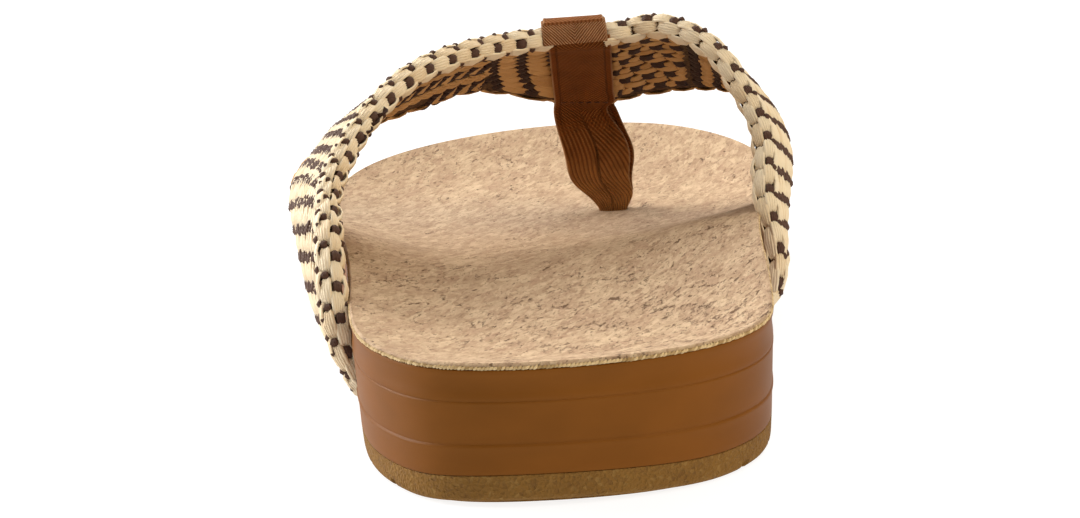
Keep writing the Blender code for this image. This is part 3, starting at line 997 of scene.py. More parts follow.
@dataclass(frozen=True)
class RaffiaFinish:
    """Paper raffia yarn; each bundle carries its dye and its shade."""

    name: str
    cream: Colour = (0.900, 0.750, 0.530)
    straw: Colour = (0.770, 0.560, 0.325)
    brown: Colour = (0.150, 0.078, 0.052)
    umber: Colour = (0.055, 0.024, 0.015)

    def build(self) -> Material:
        """Make the material.

        Returns:
            The material.
        """
        g = Graph(self.name)
        place = g.millimetres()
        dye = g.node("ShaderNodeAttribute", {"attribute_name": "dye"}, None, "Fac")
        shade = g.node("ShaderNodeAttribute", {"attribute_name": "shade"}, None, "Fac")
        streak = g.noise(place, 0.42, 3.0, 0.6)
        pale = g.mix(g.fade(shade + 0.5 * streak, 0.40, 1.10), self.straw, self.cream)
        dark = g.mix(streak, self.umber, self.brown)
        colour = g.mix(g.fade(dye, 0.35, 0.65), dark, pale)
        normal = g.relief(streak, 0.08)
        return g.finish(base_color=colour, roughness=0.55 + 0.25 * streak, normal=normal,
                        specular_ior_level=0.25)


@dataclass(frozen=True)
class CoreFinish:
    """Yarn that backs the woven band, seen only between its ribs; its dark colours are painted
    shade.
    """

    tan: Colour = (0.150, 0.085, 0.042)
    dark: Colour = (0.040, 0.022, 0.012)

    def build(self) -> Material:
        """Make the material.

        Returns:
            The material.
        """
        g = Graph("raffia backing")
        fibre = g.noise(g.millimetres(), 0.6, 3.0, 0.6)
        colour = g.mix(g.fade(fibre, 0.3, 0.7), self.dark, self.tan)
        return g.finish(base_color=colour, roughness=0.85, normal=g.relief(fibre, 0.2),
                        specular_ior_level=0.1)


@dataclass(frozen=True)
class TapeFinish:
    """Brown herringbone cotton tape, mapped in millimetres across and along the tape."""

    name: str
    brown: Colour = (0.205, 0.056, 0.0068)
    worn_and_highlight: Colour = (0.480, 0.215, 0.075)
    gathered: Colour = (0.295, 0.104, 0.0240)
    foot: Colour = (0.690, 0.325, 0.1150)
    lint_and_edge_highlight: Colour = (0.520, 0.300, 0.160)
    dirt_and_groove_shade: Colour = (0.075, 0.020, 0.0035)
    wear_and_highlight: float = 0.45
    pitch: float = 0.92
    gathered_pitch: float = 0.86
    gather_start: float = 44.0
    selvedge: float = 5.0

    def build(self) -> Material:
        """Make the material.

        Returns:
            The material.
        """
        g = Graph(self.name)
        cloth = g.node("ShaderNodeUVMap", {"uv_map": "weave"})
        across, along = g.axis(cloth, "X"), g.axis(cloth, "Y")
        waver = g.noise(g.millimetres(), 2.5, 2.0) * 0.45
        inner = g.fade(across, -0.3, 0.3)
        chevron = ((along + abs(across) * 1.05 + waver) * (2.0 * math.pi / self.pitch)).sine()
        fan = across * (1.0 - 0.12 * inner) - along * (0.06 + 0.34 * inner) + waver * 0.35
        fan = (fan * (2.0 * math.pi / self.gathered_pitch)).sine()
        gathered = g.fade(along, self.gather_start - 3.0, self.gather_start + 5.0)
        rib = (chevron * (1.0 - gathered) + fan * gathered) * 0.5 + 0.5
        edge = g.fade(abs(across), self.selvedge - 0.12, self.selvedge + 0.12) * (1.0 - gathered)
        yarn = (along * (2.0 * math.pi / 0.5)).sine() * 0.5 + 0.5
        fluff = g.noise(g.millimetres(), 0.32, 3.0, 0.65)
        ridge = g.fade(rib + 0.5 * (fluff - 0.5), 0.60, 1.0) * (1.0 - 0.6 * edge)
        ridge = ridge * (1.0 - 0.45 * gathered * (1.0 - yarn))
        # Lighter ridges of the twill: wear, and a painted highlight along each ridge.
        wear_and_highlight = (self.wear_and_highlight + 0.45 * gathered) * (0.35 + 0.65 * ridge)
        lower = g.mix(g.fade(along, self.gather_start + 4.0, self.gather_start + 20.0),
                      self.gathered, self.foot)
        colour = g.mix(gathered, self.brown, lower)
        # Painted shade: the valleys between the twill's ribs are darkened.
        colour = g.mix(g.fade(rib, 0.45, 0.05) * 0.5, colour, self.dirt_and_groove_shade)
        colour = g.mix(wear_and_highlight * ridge, colour, self.worn_and_highlight)
        # Painted shade: a dark line in each selvedge groove.
        line = g.fade(abs(abs(across) - self.selvedge), 0.35, 0.05) * (1.0 - gathered)
        colour = g.mix(line * 0.5, colour, self.dirt_and_groove_shade)
        # Lighter edges of the tape: lint, and a painted highlight along the rim.
        rim = g.fade(abs(across), 6.0, 6.4) * 0.6
        colour = g.mix((g.fade(fluff, 0.62, 0.80) * 0.3).largest(rim), colour, self.lint_and_edge_highlight)
        stain = g.noise(g.millimetres(), 5.0, 2.0)
        colour = g.mix(g.fade(stain, 0.35, 0.75) * 0.3, colour, self.dirt_and_groove_shade)
        relief = rib * (1.0 - edge) + yarn * edge * 0.6 - line * 0.8
        normal = g.relief(relief, 0.26)
        normal = g.relief(fluff, 0.10, normal)
        return g.finish(base_color=colour, roughness=0.82 + 0.12 * fluff, normal=normal,
                        specular_ior_level=0.06, sheen_weight=0.04, sheen_roughness=0.5,
                        sheen_tint=(0.75, 0.40, 0.22))


@dataclass(frozen=True)
class ThreadFinish:
    """Plain yarn whose shade changes from bead to bead."""

    name: str
    pale: Colour
    dark: Colour

    def build(self) -> Material:
        """Make the material.

        Returns:
            The material.
        """
        g = Graph(self.name)
        shade = g.node("ShaderNodeAttribute", {"attribute_name": "shade"}, None, "Fac")
        fibre = g.noise(g.millimetres(), 0.3, 2.0)
        colour = g.mix(g.fade(shade + 0.4 * fibre, 0.35, 1.2), self.dark, self.pale)
        return g.finish(base_color=colour, roughness=0.7, normal=g.relief(fibre, 0.06),
                        specular_ior_level=0.3)


@dataclass(frozen=True)
class FloorFinish:
    """Plain pale floor, lit from below so that shadows stay faint."""

    colour: Colour = (0.26, 0.26, 0.26)
    light: Colour = (1.0, 1.0, 1.0)
    glow: float = 0.86

    def build(self) -> Material:
        """Make the material.

        Returns:
            The material.
        """
        g = Graph("pale floor")
        return g.finish(base_color=self.colour, roughness=0.9, specular_ior_level=0.0,
                        emission_color=self.light, emission_strength=self.glow)


# ---- strands laid by Geometry Nodes

@dataclass
class BundleTree:
    """Geometry Nodes tree that lays one bundle of strands on every point of a carrier mesh.

    The carrier's points hold "run" (the bundle's direction), "out" (away from the surface)
    and "size" (length, width, height).  "dye" and "shade" pass on to the strands.
    """

    name: str
    finish: Material
    strands: int = 3
    radius: float = 0.19
    spread: float = 0.33
    pinch: float = 0.35
    rise: float = 0.62
    stagger: float = 0.0
    bow: float = 0.0
    twist: float = 0.0
    jitter: float = 0.05
    steps: int = 5
    sides: int = 5
    seed: int = 7
    tree: bpy.types.GeometryNodeTree = field(init=False)
    sockets: dict[str, str] = field(init=False, default_factory=dict)

    def __post_init__(self) -> None:
        """Build the tree."""
        self.tree = bpy.data.node_groups.new(self.name, "GeometryNodeTree")
        for label, way in (("Geometry", "OUTPUT"), ("Carrier", "INPUT")):
            self.tree.interface.new_socket(label, in_out=way, socket_type="NodeSocketGeometry")
        for label, kind in (("Strands", "Int"), ("Radius", "Float"), ("Spread", "Float"),
                            ("Pinch", "Float"), ("Rise", "Float"), ("Jitter", "Float"),
                            ("Seed", "Int")):
            made = self.tree.interface.new_socket(label, in_out="INPUT",
                                                  socket_type="NodeSocket" + kind)
            self.sockets[label] = made.identifier
        self._wire()

    def _node(self, kind: str, settings: dict[str, Any] | None = None,
              inputs: dict[Any, Any] | None = None) -> bpy.types.Node:
        """Add a node.

        Args:
            kind: the node's type.
            settings: its properties.
            inputs: numbers or links, by socket name or number.

        Returns:
            The node.
        """
        node = self.tree.nodes.new(kind)
        for key, value in (settings or {}).items():
            setattr(node, key, value)
        for key, value in (inputs or {}).items():
            if isinstance(value, Socket):
                self.tree.links.new(value, node.inputs[key])
            else:
                node.inputs[key].default_value = value
        return node

    def _math(self, operation: str, first: Any, second: Any = 0.0) -> Socket:
        """Add a Math node."""
        node = self._node("ShaderNodeMath", {"operation": operation}, {0: first, 1: second})
        return node.outputs[0]

    def _product(self, first: Any, second: Any) -> Socket:
        """Multiply two numbers or sockets."""
        return self._math("MULTIPLY", first, second)

    def _wire(self) -> None:
        """Make the bundle, then lay it on the carrier's points."""
        given = self.tree.nodes.new("NodeGroupInput").outputs
        bundle = self._bundle(given)
        run, out, size = (self._node("GeometryNodeInputNamedAttribute",
                                     {"data_type": "FLOAT_VECTOR"}, {"Name": name}).outputs[0]
                          for name in ("run", "out", "size"))
        turned = self._node("FunctionNodeAlignRotationToVector",
                            {"axis": "X", "pivot_axis": "AUTO"}, {"Vector": run})
        turned = self._node("FunctionNodeAlignRotationToVector",
                            {"axis": "Z", "pivot_axis": "X"},
                            {"Rotation": turned.outputs[0], "Vector": out})
        low = self._product(given["Jitter"], -1.0)
        spin = self._node("FunctionNodeRandomValue", {"data_type": "FLOAT"},
                          {2: low, 3: given["Jitter"], "Seed": given["Seed"]})
        angle = self._math("ADD", spin.outputs[1], self.twist)
        spin = self._node("FunctionNodeAxisAngleToRotation", None,
                          {"Axis": (0.0, 0.0, 1.0), "Angle": angle})
        turned = self._node("FunctionNodeRotateRotation", {"rotation_space": "LOCAL"},
                            {0: turned.outputs[0], 1: spin.outputs[0]})
        laid = self._node("GeometryNodeInstanceOnPoints", None,
                          {"Points": given["Carrier"], "Instance": bundle,
                           "Rotation": turned.outputs[0], "Scale": size})
        real = self._node("GeometryNodeRealizeInstances", None, {0: laid.outputs[0]})
        smooth = self._node("GeometryNodeSetShadeSmooth", None, {0: real.outputs[0]})
        dressed = self._node("GeometryNodeSetMaterial", None,
                             {0: smooth.outputs[0], "Material": self.finish})
        result = self.tree.nodes.new("NodeGroupOutput")
        self.tree.links.new(dressed.outputs[0], result.inputs[0])

    def _bundle(self, given: Any) -> Socket:
        """Bundle of unit length and width: humped strands, pinched at the ends.

        Args:
            given: the tree's named inputs.

        Returns:
            The bundle's geometry.
        """
        line = self._node("GeometryNodeCurvePrimitiveLine", None,
                          {"Start": (-0.5, 0.0, 0.0), "End": (0.5, 0.0, 0.0)})
        line = self._node("GeometryNodeResampleCurve", {"mode": "COUNT"},
                          {"Curve": line.outputs[0], "Count": self.steps})
        share = self._node("GeometryNodeSplineParameter").outputs["Factor"]
        away = self._math("ABSOLUTE", self._math("SUBTRACT", self._product(share, 2.0), 1.0))
        fall = self._math("POWER", away, 2.6)
        lift = self._product(self._math("SUBTRACT", 0.55, fall), given["Rise"])
        lifted = self._node("ShaderNodeCombineXYZ", None, {"Z": lift})
        humped = self._node("GeometryNodeSetPosition", None,
                            {"Geometry": line.outputs[0], "Offset": lifted.outputs[0]})
        slim = self._math("SUBTRACT", 1.0, self._product(self._math("POWER", away, 3.0), 0.55))
        profile = self._node("GeometryNodeCurvePrimitiveCircle", {"mode": "RADIUS"},
                             {"Resolution": self.sides, "Radius": given["Radius"]})
        strand = self._node("GeometryNodeCurveToMesh", None,
                            {"Curve": humped.outputs[0], "Profile Curve": profile.outputs[0],
                             "Scale": slim, "Fill Caps": True})
        span = self._product(given["Spread"], self._math("SUBTRACT", given["Strands"], 1.0))
        start = self._node("ShaderNodeCombineXYZ", None, {"Y": self._product(span, -0.5)})
        step = self._node("ShaderNodeCombineXYZ", None, {"Y": given["Spread"]})
        lanes = self._node("GeometryNodeMeshLine", {"mode": "OFFSET", "count_mode": "TOTAL"},
                           {"Count": given["Strands"], "Start Location": start.outputs[0],
                            "Offset": step.outputs[0]})
        slide = self._node("FunctionNodeRandomValue", {"data_type": "FLOAT"},
                           {2: -self.stagger, 3: self.stagger, "Seed": self.seed})
        slid = self._node("ShaderNodeCombineXYZ", None, {"X": slide.outputs[1]})
        lanes = self._node("GeometryNodeSetPosition", None,
                           {"Geometry": lanes.outputs[0], "Offset": slid.outputs[0]})
        side_by_side = self._node("GeometryNodeInstanceOnPoints", None,
                                  {"Points": lanes.outputs[0], "Instance": strand.outputs[0]})
        real = self._node("GeometryNodeRealizeInstances", None, {0: side_by_side.outputs[0]})
        place = self._node("ShaderNodeSeparateXYZ", None,
                           {0: self._node("GeometryNodeInputPosition").outputs[0]}).outputs
        out = self._math("POWER", self._product(self._math("ABSOLUTE", place["X"]), 2.0), 2.0)
        squeeze = self._product(self._product(out, given["Pinch"]), -1.0)
        sag = self._product(self._product(place["Y"], place["Y"]), -4.0 * self.bow)
        shift = self._node("ShaderNodeCombineXYZ", None,
                           {"Y": self._product(place["Y"], squeeze), "Z": sag})
        pinched = self._node("GeometryNodeSetPosition", None,
                             {"Geometry": real.outputs[0], "Offset": shift.outputs[0]})
        return pinched.outputs[0]

    def lay(self, name: str, places: "Carrier") -> Piece:
        """Lay the bundles as one plain mesh.

        Args:
            name: the piece's name.
            places: where the bundles go.

        Returns:
            The piece, with no modifier left.
        """
        piece = places.mesh(name)
        modifier = piece.modifiers.new("bundles", "NODES")
        modifier.node_group = self.tree
        for label, value in (("Strands", self.strands), ("Radius", self.radius),
                             ("Spread", self.spread), ("Pinch", self.pinch),
                             ("Rise", self.rise), ("Jitter", self.jitter), ("Seed", self.seed)):
            modifier[self.sockets[label]] = value
        settle(piece)
        return piece


@dataclass
class Carrier:
    """Places for bundles, gathered piece by piece, in millimetres."""

    points: list[Array] = field(default_factory=list)
    run: list[Array] = field(default_factory=list)
    out: list[Array] = field(default_factory=list)
    size: list[Array] = field(default_factory=list)
    dye: list[Array] = field(default_factory=list)
    shade: list[Array] = field(default_factory=list)

    def add(self, points: Array, run: Array, out: Array, size: Array, dye: Array,
            shade: Array) -> None:
        """Add places with their directions, sizes, dyes and shades.

        Args:
            points: where they are.
            run: directions of the bundles.
            out: directions away from the surface.
            size: length, width and height of each.
            dye: 0 for brown, 1 for cream.
            shade: how light each is.
        """
        for store, values in ((self.points, points), (self.run, run), (self.out, out),
                              (self.size, size), (self.dye, dye), (self.shade, shade)):
            store.append(np.asarray(values, dtype=float))

    def mesh(self, name: str) -> Piece:
        """Mesh of loose points with everything as attributes.

        Args:
            name: the object's name.

        Returns:
            The object.
        """
        points = (np.concatenate(self.points) - ORIGIN) * MM
        data = bpy.data.meshes.new(name)
        data.from_pydata(points.tolist(), [], [])
        for label, store, scale in (("run", self.run, 1.0), ("out", self.out, 1.0),
                                    ("size", self.size, MM)):
            layer = data.attributes.new(label, "FLOAT_VECTOR", "POINT")
            layer.data.foreach_set("vector", (np.concatenate(store) * scale).ravel())
        for label, store in (("dye", self.dye), ("shade", self.shade)):
            layer = data.attributes.new(label, "FLOAT", "POINT")
            layer.data.foreach_set("value", np.concatenate(store))
        piece = bpy.data.objects.new(name, data)
        bpy.context.scene.collection.objects.link(piece)
        return piece


def attach(piece: Piece, slot: str, *nodes: str) -> None:
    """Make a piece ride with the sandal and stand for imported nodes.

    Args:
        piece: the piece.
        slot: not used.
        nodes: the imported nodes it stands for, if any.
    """
    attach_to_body(piece, "root")
    if nodes:
        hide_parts(*nodes)
    log.info("%s: %d faces", piece.name, len(piece.data.polygons))


# ---- the sole

@dataclass
class Outsole:
    """Rubber bottom with a rounded lower edge, channels and fine sipes."""

    shape: SoleShape
    edge_round: float = 1.3
    channel_depth: float = 1.3
    channel_width: float = 2.6
    channel_bow: float = 5.0
    channel_reach: float = 62.0
    sipe_depth: float = 0.5
    sipe_width: float = 0.7
    rows: int = 150
    columns: int = 10

    def wall(self) -> list[WallRow]:
        """Rows of the wall, from the joint to the tread.

        Returns:
            The rows.
        """
        shape = self.shape

        def joint(depth: float) -> WallRow:
            """Row at the joint with the midsole.

            Args:
                depth: 0 at the joint, 1 just below it.

            Returns:
                The row.
            """
            def row(edge: Array) -> tuple[Array, Array]:
                """Insets and heights.

                Args:
                    edge: edge points.

                Returns:
                    Both, at the points.
                """
                top = shape.outsole_top(edge[:, 1])
                inset = shape.wall_inset(top / shape.rim(edge[:, 1]))
                return inset + 0.10 * (1.0 - depth), top - 0.10 * depth
            return row

        def rounded(degrees: float) -> WallRow:
            """Row on the rounded lower edge.

            Args:
                degrees: 0 on the side, 90 on the tread.

            Returns:
                The row.
            """
            turn = math.radians(degrees)

            def row(edge: Array) -> tuple[Array, Array]:
                """Insets and heights.

                Args:
                    edge: edge points.

                Returns:
                    Both, at the points.
                """
                lift = shape.floor_lift(edge[:, 1])
                return (shape.wall_taper + self.edge_round * (1.0 - math.cos(turn)),
                        lift + self.edge_round * (1.0 - math.sin(turn)))
            return row

        return [joint(0.0), joint(1.0)] + [rounded(turn) for turn in (0.0, 22.5, 45.0, 67.5, 90.0)]

    def cutter(self, name: str, places: Sequence[float], width: float, depth: float) -> Piece:
        """Bowed bars that cut grooves right across the tread.

        Args:
            name: the cutter's name.
            places: where the bars cross the middle line.
            width: width of a bar.
            depth: depth of a groove.

        Returns:
            One object with every bar.
        """
        points, faces = [], []
        shares = np.linspace(-1.0, 1.0, 25)
        for along in places:
            middle = along - self.channel_bow * shares ** 2
            top = self.shape.floor_lift(middle) + depth
            ring = []
            for side, up in ((-0.5, -3.0), (0.5, -3.0), (0.36, top), (-0.36, top)):
                ring.append(np.column_stack([shares * self.channel_reach, middle + side * width,
                                             np.broadcast_to(up, len(shares))]))
            bar, bar_faces = loft(np.stack(ring, 1))
            start = sum(len(p) for p in points)
            points.append(bar)
            faces += [tuple(start + i for i in face) for face in bar_faces]
        return make_piece(name, np.concatenate(points), faces, None)

    def build(self, finish: Material) -> None:
        """Make the outsole.

        Args:
            finish: the material.
        """
        shape = self.shape
        piece = SoleLayer(shape, self.rows, self.columns).build(
            "outsole_rubber", lambda plan: shape.outsole_top(plan[:, 1]),
            lambda plan: shape.floor_lift(plan[:, 1]), self.wall(), finish, 30.0)
        sipes = []
        for near, far in zip(CHANNELS_ALONG, CHANNELS_ALONG[1:]):
            if far - near < 14.0:
                sipes += [near + (far - near) / 3.0, near + 2.0 * (far - near) / 3.0]
        carve(piece, [
            self.cutter("channels", CHANNELS_ALONG, self.channel_width, self.channel_depth),
            self.cutter("sipes", sipes, self.sipe_width, self.sipe_depth)], 30.0)
        attach(piece, "outsole", "outsole")


@dataclass
class Midsole:
    """Smooth sidewall block with two fine grooves, the band's slots and the toe tape's hole."""

    shape: SoleShape
    band: BandShape
    groove_levels: tuple[float, float] = (0.295, 0.70)
    line_profiles: tuple[tuple[tuple[float, float], ...], ...] = (
        ((0.60, 0.0), (0.28, 0.02), (0.10, 0.08), (0.0, 0.10), (-0.10, 0.02), (-0.22, -0.06),
         (-0.45, -0.05), (-0.90, 0.0)),
        ((0.80, 0.0), (0.35, 0.02), (0.12, 0.07), (0.02, 0.08), (-0.10, 0.0), (-0.26, -0.12),
         (-0.42, -0.17), (-0.70, -0.13), (-1.20, -0.05), (-1.80, 0.0)))
    rim_drop: float = 1.1
    rim_round: float = 0.35
    panel_waist: float = 0.28
    panel_foot: float = 0.72
    slot_gap: float = -0.40
    hole_floor: float = 8.6
    rows: int = 170
    columns: int = 12

    def wall(self) -> list[WallRow]:
        """Rows of the wall, from the rim to the joint with the outsole.

        Returns:
            The rows.
        """
        shape = self.shape

        def at(share: float, shift: float = 0.0, inset: float = 0.0) -> WallRow:
            """Row at a share of the wall's height.

            Args:
                share: 0 at the joint, 1 at the rim.
                shift: millimetres further up.
                inset: millimetres further in.

            Returns:
                The row.
            """
            def row(edge: Array) -> tuple[Array, Array]:
                """Insets and heights.

                Args:
                    edge: edge points.

                Returns:
                    Both, at the points.
                """
                rim = shape.rim(edge[:, 1])
                bottom = shape.outsole_top(edge[:, 1]) + 0.05
                height = bottom + (rim - self.rim_drop - bottom) * share + shift
                panel = (share - self.panel_foot) / (1.0 - self.panel_foot)
                waist = self.panel_waist * math.sin(math.pi * min(max(panel, 0.0), 1.0))
                return shape.wall_inset(height / rim) + inset + waist, height
            return row

        rows = [at(1.0, 0.0, 0.45), at(1.0, 0.0, self.rim_round),
                at(1.0, -0.10, 0.10), at(1.0, -self.rim_round, 0.0)]
        rows += [at(share) for share in (0.94, 0.88, 0.82, 0.77)]
        for level, profile, below in zip(reversed(self.groove_levels), self.line_profiles,
                                         ((0.6, 0.5, 0.41), (0.10, 0.06))):
            for up, depth in profile:
                rows.append(at(level, up, depth))
            rows += [at(share) for share in below]
        return rows + [at(0.02), at(0.0, 0.04, 0.06), at(0.0, 0.0, 0.5)]

    def slot_cutter(self, name: str, start: float, end: float) -> Piece:
        """The band's own end, with the slot's gap round it; below 0 it grips the band.

        Args:
            name: the cutter's name.
            start: the band's end, in rows.
            end: the slot's end, in rows.

        Returns:
            The cutter.
        """
        places = np.linspace(start, end, 25)
        spots = self.band.section(13, 12, 7)
        rings = np.stack([self.band.point(places, spot, self.slot_gap)[0] for spot in spots], 1)
        first = rings[0] + (rings[0].mean(0) - rings[1].mean(0)) * 0.8
        return make_piece(name, *loft(np.concatenate([first[None], rings])), None)

    def build(self, finish: Material) -> None:
        """Make the midsole.

        Args:
            finish: the material.
        """
        shape = self.shape

        def upper(plan: Array) -> Array:
            """Heights just under the cork."""
            return shape.footbed_top(plan) - self.rim_drop

        piece = SoleLayer(shape, self.rows, self.columns).build(
            "midsole_block", upper, lambda plan: shape.outsole_top(plan[:, 1]) + 0.05,
            self.wall(), finish, 38.0)
        last = self.band.last
        carve(piece, [self.slot_cutter("outer slot", 0.0, 4.0),
                      self.slot_cutter("inner slot", last, last - 4.0),
                      hole_cutter(self.hole_floor, 0.3)], 38.0)
        attach(piece, "midsole", "midsole")


def hole_cutter(floor: float, clearance: float) -> Piece:
    """Upright plug for the toe tape's hole, with rounded corners.

    Args:
        floor: height of the hole's bottom.
        clearance: room round the tape.

    Returns:
        The cutter.
    """
    foot = STEM[-1]
    turn = 2.0 * math.pi * (np.arange(32) + 0.5) / 32
    x = foot.across + np.sign(np.cos(turn)) * np.sqrt(np.abs(np.cos(turn))) * (
        0.5 * foot.width + clearance)
    y = foot.along + np.sign(np.sin(turn)) * np.sqrt(np.abs(np.sin(turn))) * (
        0.5 * foot.thickness + clearance)
    rings = [np.column_stack([x, y, np.full(32, up)]) for up in (floor, 34.0)]
    return make_piece("toe hole", *loft(np.stack(rings)), None)


@dataclass
class Footbed:
    """Cork sheet with a soft edge, bound by a line of twisted thread."""

    shape: SoleShape
    inset: float = 0.25
    edge_round: float = 0.4
    sheet: float = 0.55
    depth: float = 1.0
    dimple: float = 0.45
    dimple_radius: float = 5.5
    thread_drop: float = 0.80
    thread_radius: float = 0.20
    thread_pitch: float = 0.62
    rows: int = 190
    columns: int = 64

    def upper(self, plan: Array) -> Array:
        """Heights of the cork, a little pressed in round the toe tape.

        Args:
            plan: plan points.

        Returns:
            One height for each point.
        """
        foot = STEM[-1]
        reach = np.hypot(plan[:, 0] - foot.across, plan[:, 1] - foot.along) / self.dimple_radius
        return self.shape.footbed_top(plan) - self.dimple * np.exp(-reach ** 2)

    def wall(self) -> list[WallRow]:
        """Rows of the cork's edge, from its crown to under the thread.

        Returns:
            The rows.
        """
        shape = self.shape

        def rounded(degrees: float) -> WallRow:
            """Row on the rounded upper edge.

            Args:
                degrees: 0 on the side, 90 on top.

            Returns:
                The row.
            """
            turn = math.radians(degrees)

            def row(edge: Array) -> tuple[Array, Array]:
                """Insets and heights.

                Args:
                    edge: edge points.

                Returns:
                    Both, at the points.
                """
                rim = shape.rim(edge[:, 1]) - 0.12
                return (self.inset + self.edge_round * (1.0 - math.cos(turn)),
                        rim - self.edge_round * (1.0 - math.sin(turn)))
            return row

        def below(inset: float, drop: float) -> WallRow:
            """Row under the rounded edge.

            Args:
                inset: millimetres further in.
                drop: depth under the rim.

            Returns:
                The row.
            """
            def row(edge: Array) -> tuple[Array, Array]:
                """Inset and heights."""
                return self.inset + inset, shape.rim(edge[:, 1]) - drop
            return row

        rows = [rounded(turn) for turn in (90.0, 60.0, 30.0, 0.0)]
        return rows + [below(0.0, self.sheet), below(0.5, self.sheet + 0.05),
                       below(0.8, self.depth)]

    def build(self, cork: Material, thread: Material) -> None:
        """Make the cork and its binding.

        Args:
            cork: the sheet's material.
            thread: the binding's material.
        """
        piece = SoleLayer(self.shape, self.rows, self.columns).build(
            "cork_footbed", self.upper, lambda plan: self.shape.footbed_top(plan) - self.depth,
            self.wall(), cork, 50.0)
        carve(piece, [hole_cutter(8.0, 0.15)], 50.0)
        attach(piece, "footbed", "footbed")
        self.build_binding(thread)

    def rim_line(self, count: int) -> Array:
        """Points of the binding's middle line, evenly spaced round the sole.

        Args:
            count: number of points, or 0 for one at each bead.

        Returns:
            The points.
        """
        turns = np.linspace(-math.pi, math.pi, 4001)
        plan = self.shape.inset_edge(turns, self.inset + 0.12)
        line = np.column_stack([plan, self.shape.rim(plan[:, 1]) - self.thread_drop])
        run = travelled(line)
        total = run[-1]
        count = count or int(round(total / self.thread_pitch))
        wanted = np.arange(count) * total / count
        return np.column_stack([np.interp(wanted, run, line[:, i]) for i in range(3)])

    def build_binding(self, finish: Material) -> None:
        """Cord under the cork's edge with beads of twisted thread.

        Args:
            finish: the material.
        """
        line = self.rim_line(520)
        run = unit(np.roll(line, -1, axis=0) - np.roll(line, 1, axis=0))
        side = unit(np.cross(run, (0.0, 0.0, 1.0)))
        up = np.cross(side, run)
        rings = []
        for turn in np.linspace(0.0, 2.0 * math.pi, 7)[:-1]:
            rings.append(line + (side * math.cos(turn) + up * math.sin(turn)) * self.thread_radius)
        cord = make_piece("binding_cord", *loft(np.stack(rings, 1), closed_rows=True), finish)
        attach(cord, "footbed")
        beads = self.rim_line(0)
        run = unit(np.roll(beads, -1, axis=0) - np.roll(beads, 1, axis=0))
        side = unit(np.cross(run, (0.0, 0.0, 1.0)))
        rng = np.random.default_rng(11)
        count = len(beads)
        carrier = Carrier()
        size = np.column_stack([rng.uniform(0.82, 1.0, count), rng.uniform(0.42, 0.55, count),
                                rng.uniform(0.40, 0.55, count)])
        carrier.add(beads + side * 0.10 + rng.normal(0.0, 0.025, (count, 3)), run, side, size,
                    np.ones(count), rng.uniform(0.25, 1.15, count))
        tree = BundleTree("twisted binding", finish, strands=2, radius=0.27, spread=0.42,
                          pinch=0.5, rise=0.5, twist=0.62, jitter=0.22, steps=4, seed=3)
        attach(tree.lay("binding_thread", carrier), "footbed")


# ---- the woven band

class RollRib(NamedTuple):
    """One rib of the rolled edge, at its angle round the roll.

    Each half of the band has its own shift of the courses and its own size of the dark spots,
    where 0 leaves the rib plain: first the outer side's half, then the inner side's.
    """

    angle: float
    outer_half: tuple[float, float]
    inner_half: tuple[float, float]


class Rib(NamedTuple):
    """One lengthwise rib of the weave: its place, its width, and the look of its halves.

    A stray rib has only short dark floats that show between two broad ribs.
    """

    spot: Spot
    width: float
    outer_half: tuple[float, float]
    inner_half: tuple[float, float]
    stray: bool = False


class Patch(NamedTuple):
    """Stretch of the inner face between two courses, with ribs of its own.

    Where the dash step is not zero, rows of dark dashes take the place of the courses, and
    climb towards the rolled edge by a share of the face for each course.  Elsewhere the dark
    bars take a share of the course, and bend along the band by some millimetres.
    """

    first: float
    last: float
    ribs: int
    dash_step: float = 0.0
    climb: float = 0.0
    bar_share: float = 0.42
    bend: float = 0.3


class Float(NamedTuple):
    """One float: its start and end in courses, its dye, and shares of full width and height."""

    start: float
    end: float
    dye: float
    width: float = 1.0
    height: float = 1.0
    slant: float = 0.0


@dataclass(frozen=True)
class Strands:
    """Strands of the bundles on one side of the band."""

    count: int
    radius: float
    spread: float
    pinch: float
    rise: float
    stagger: float
    bow: float


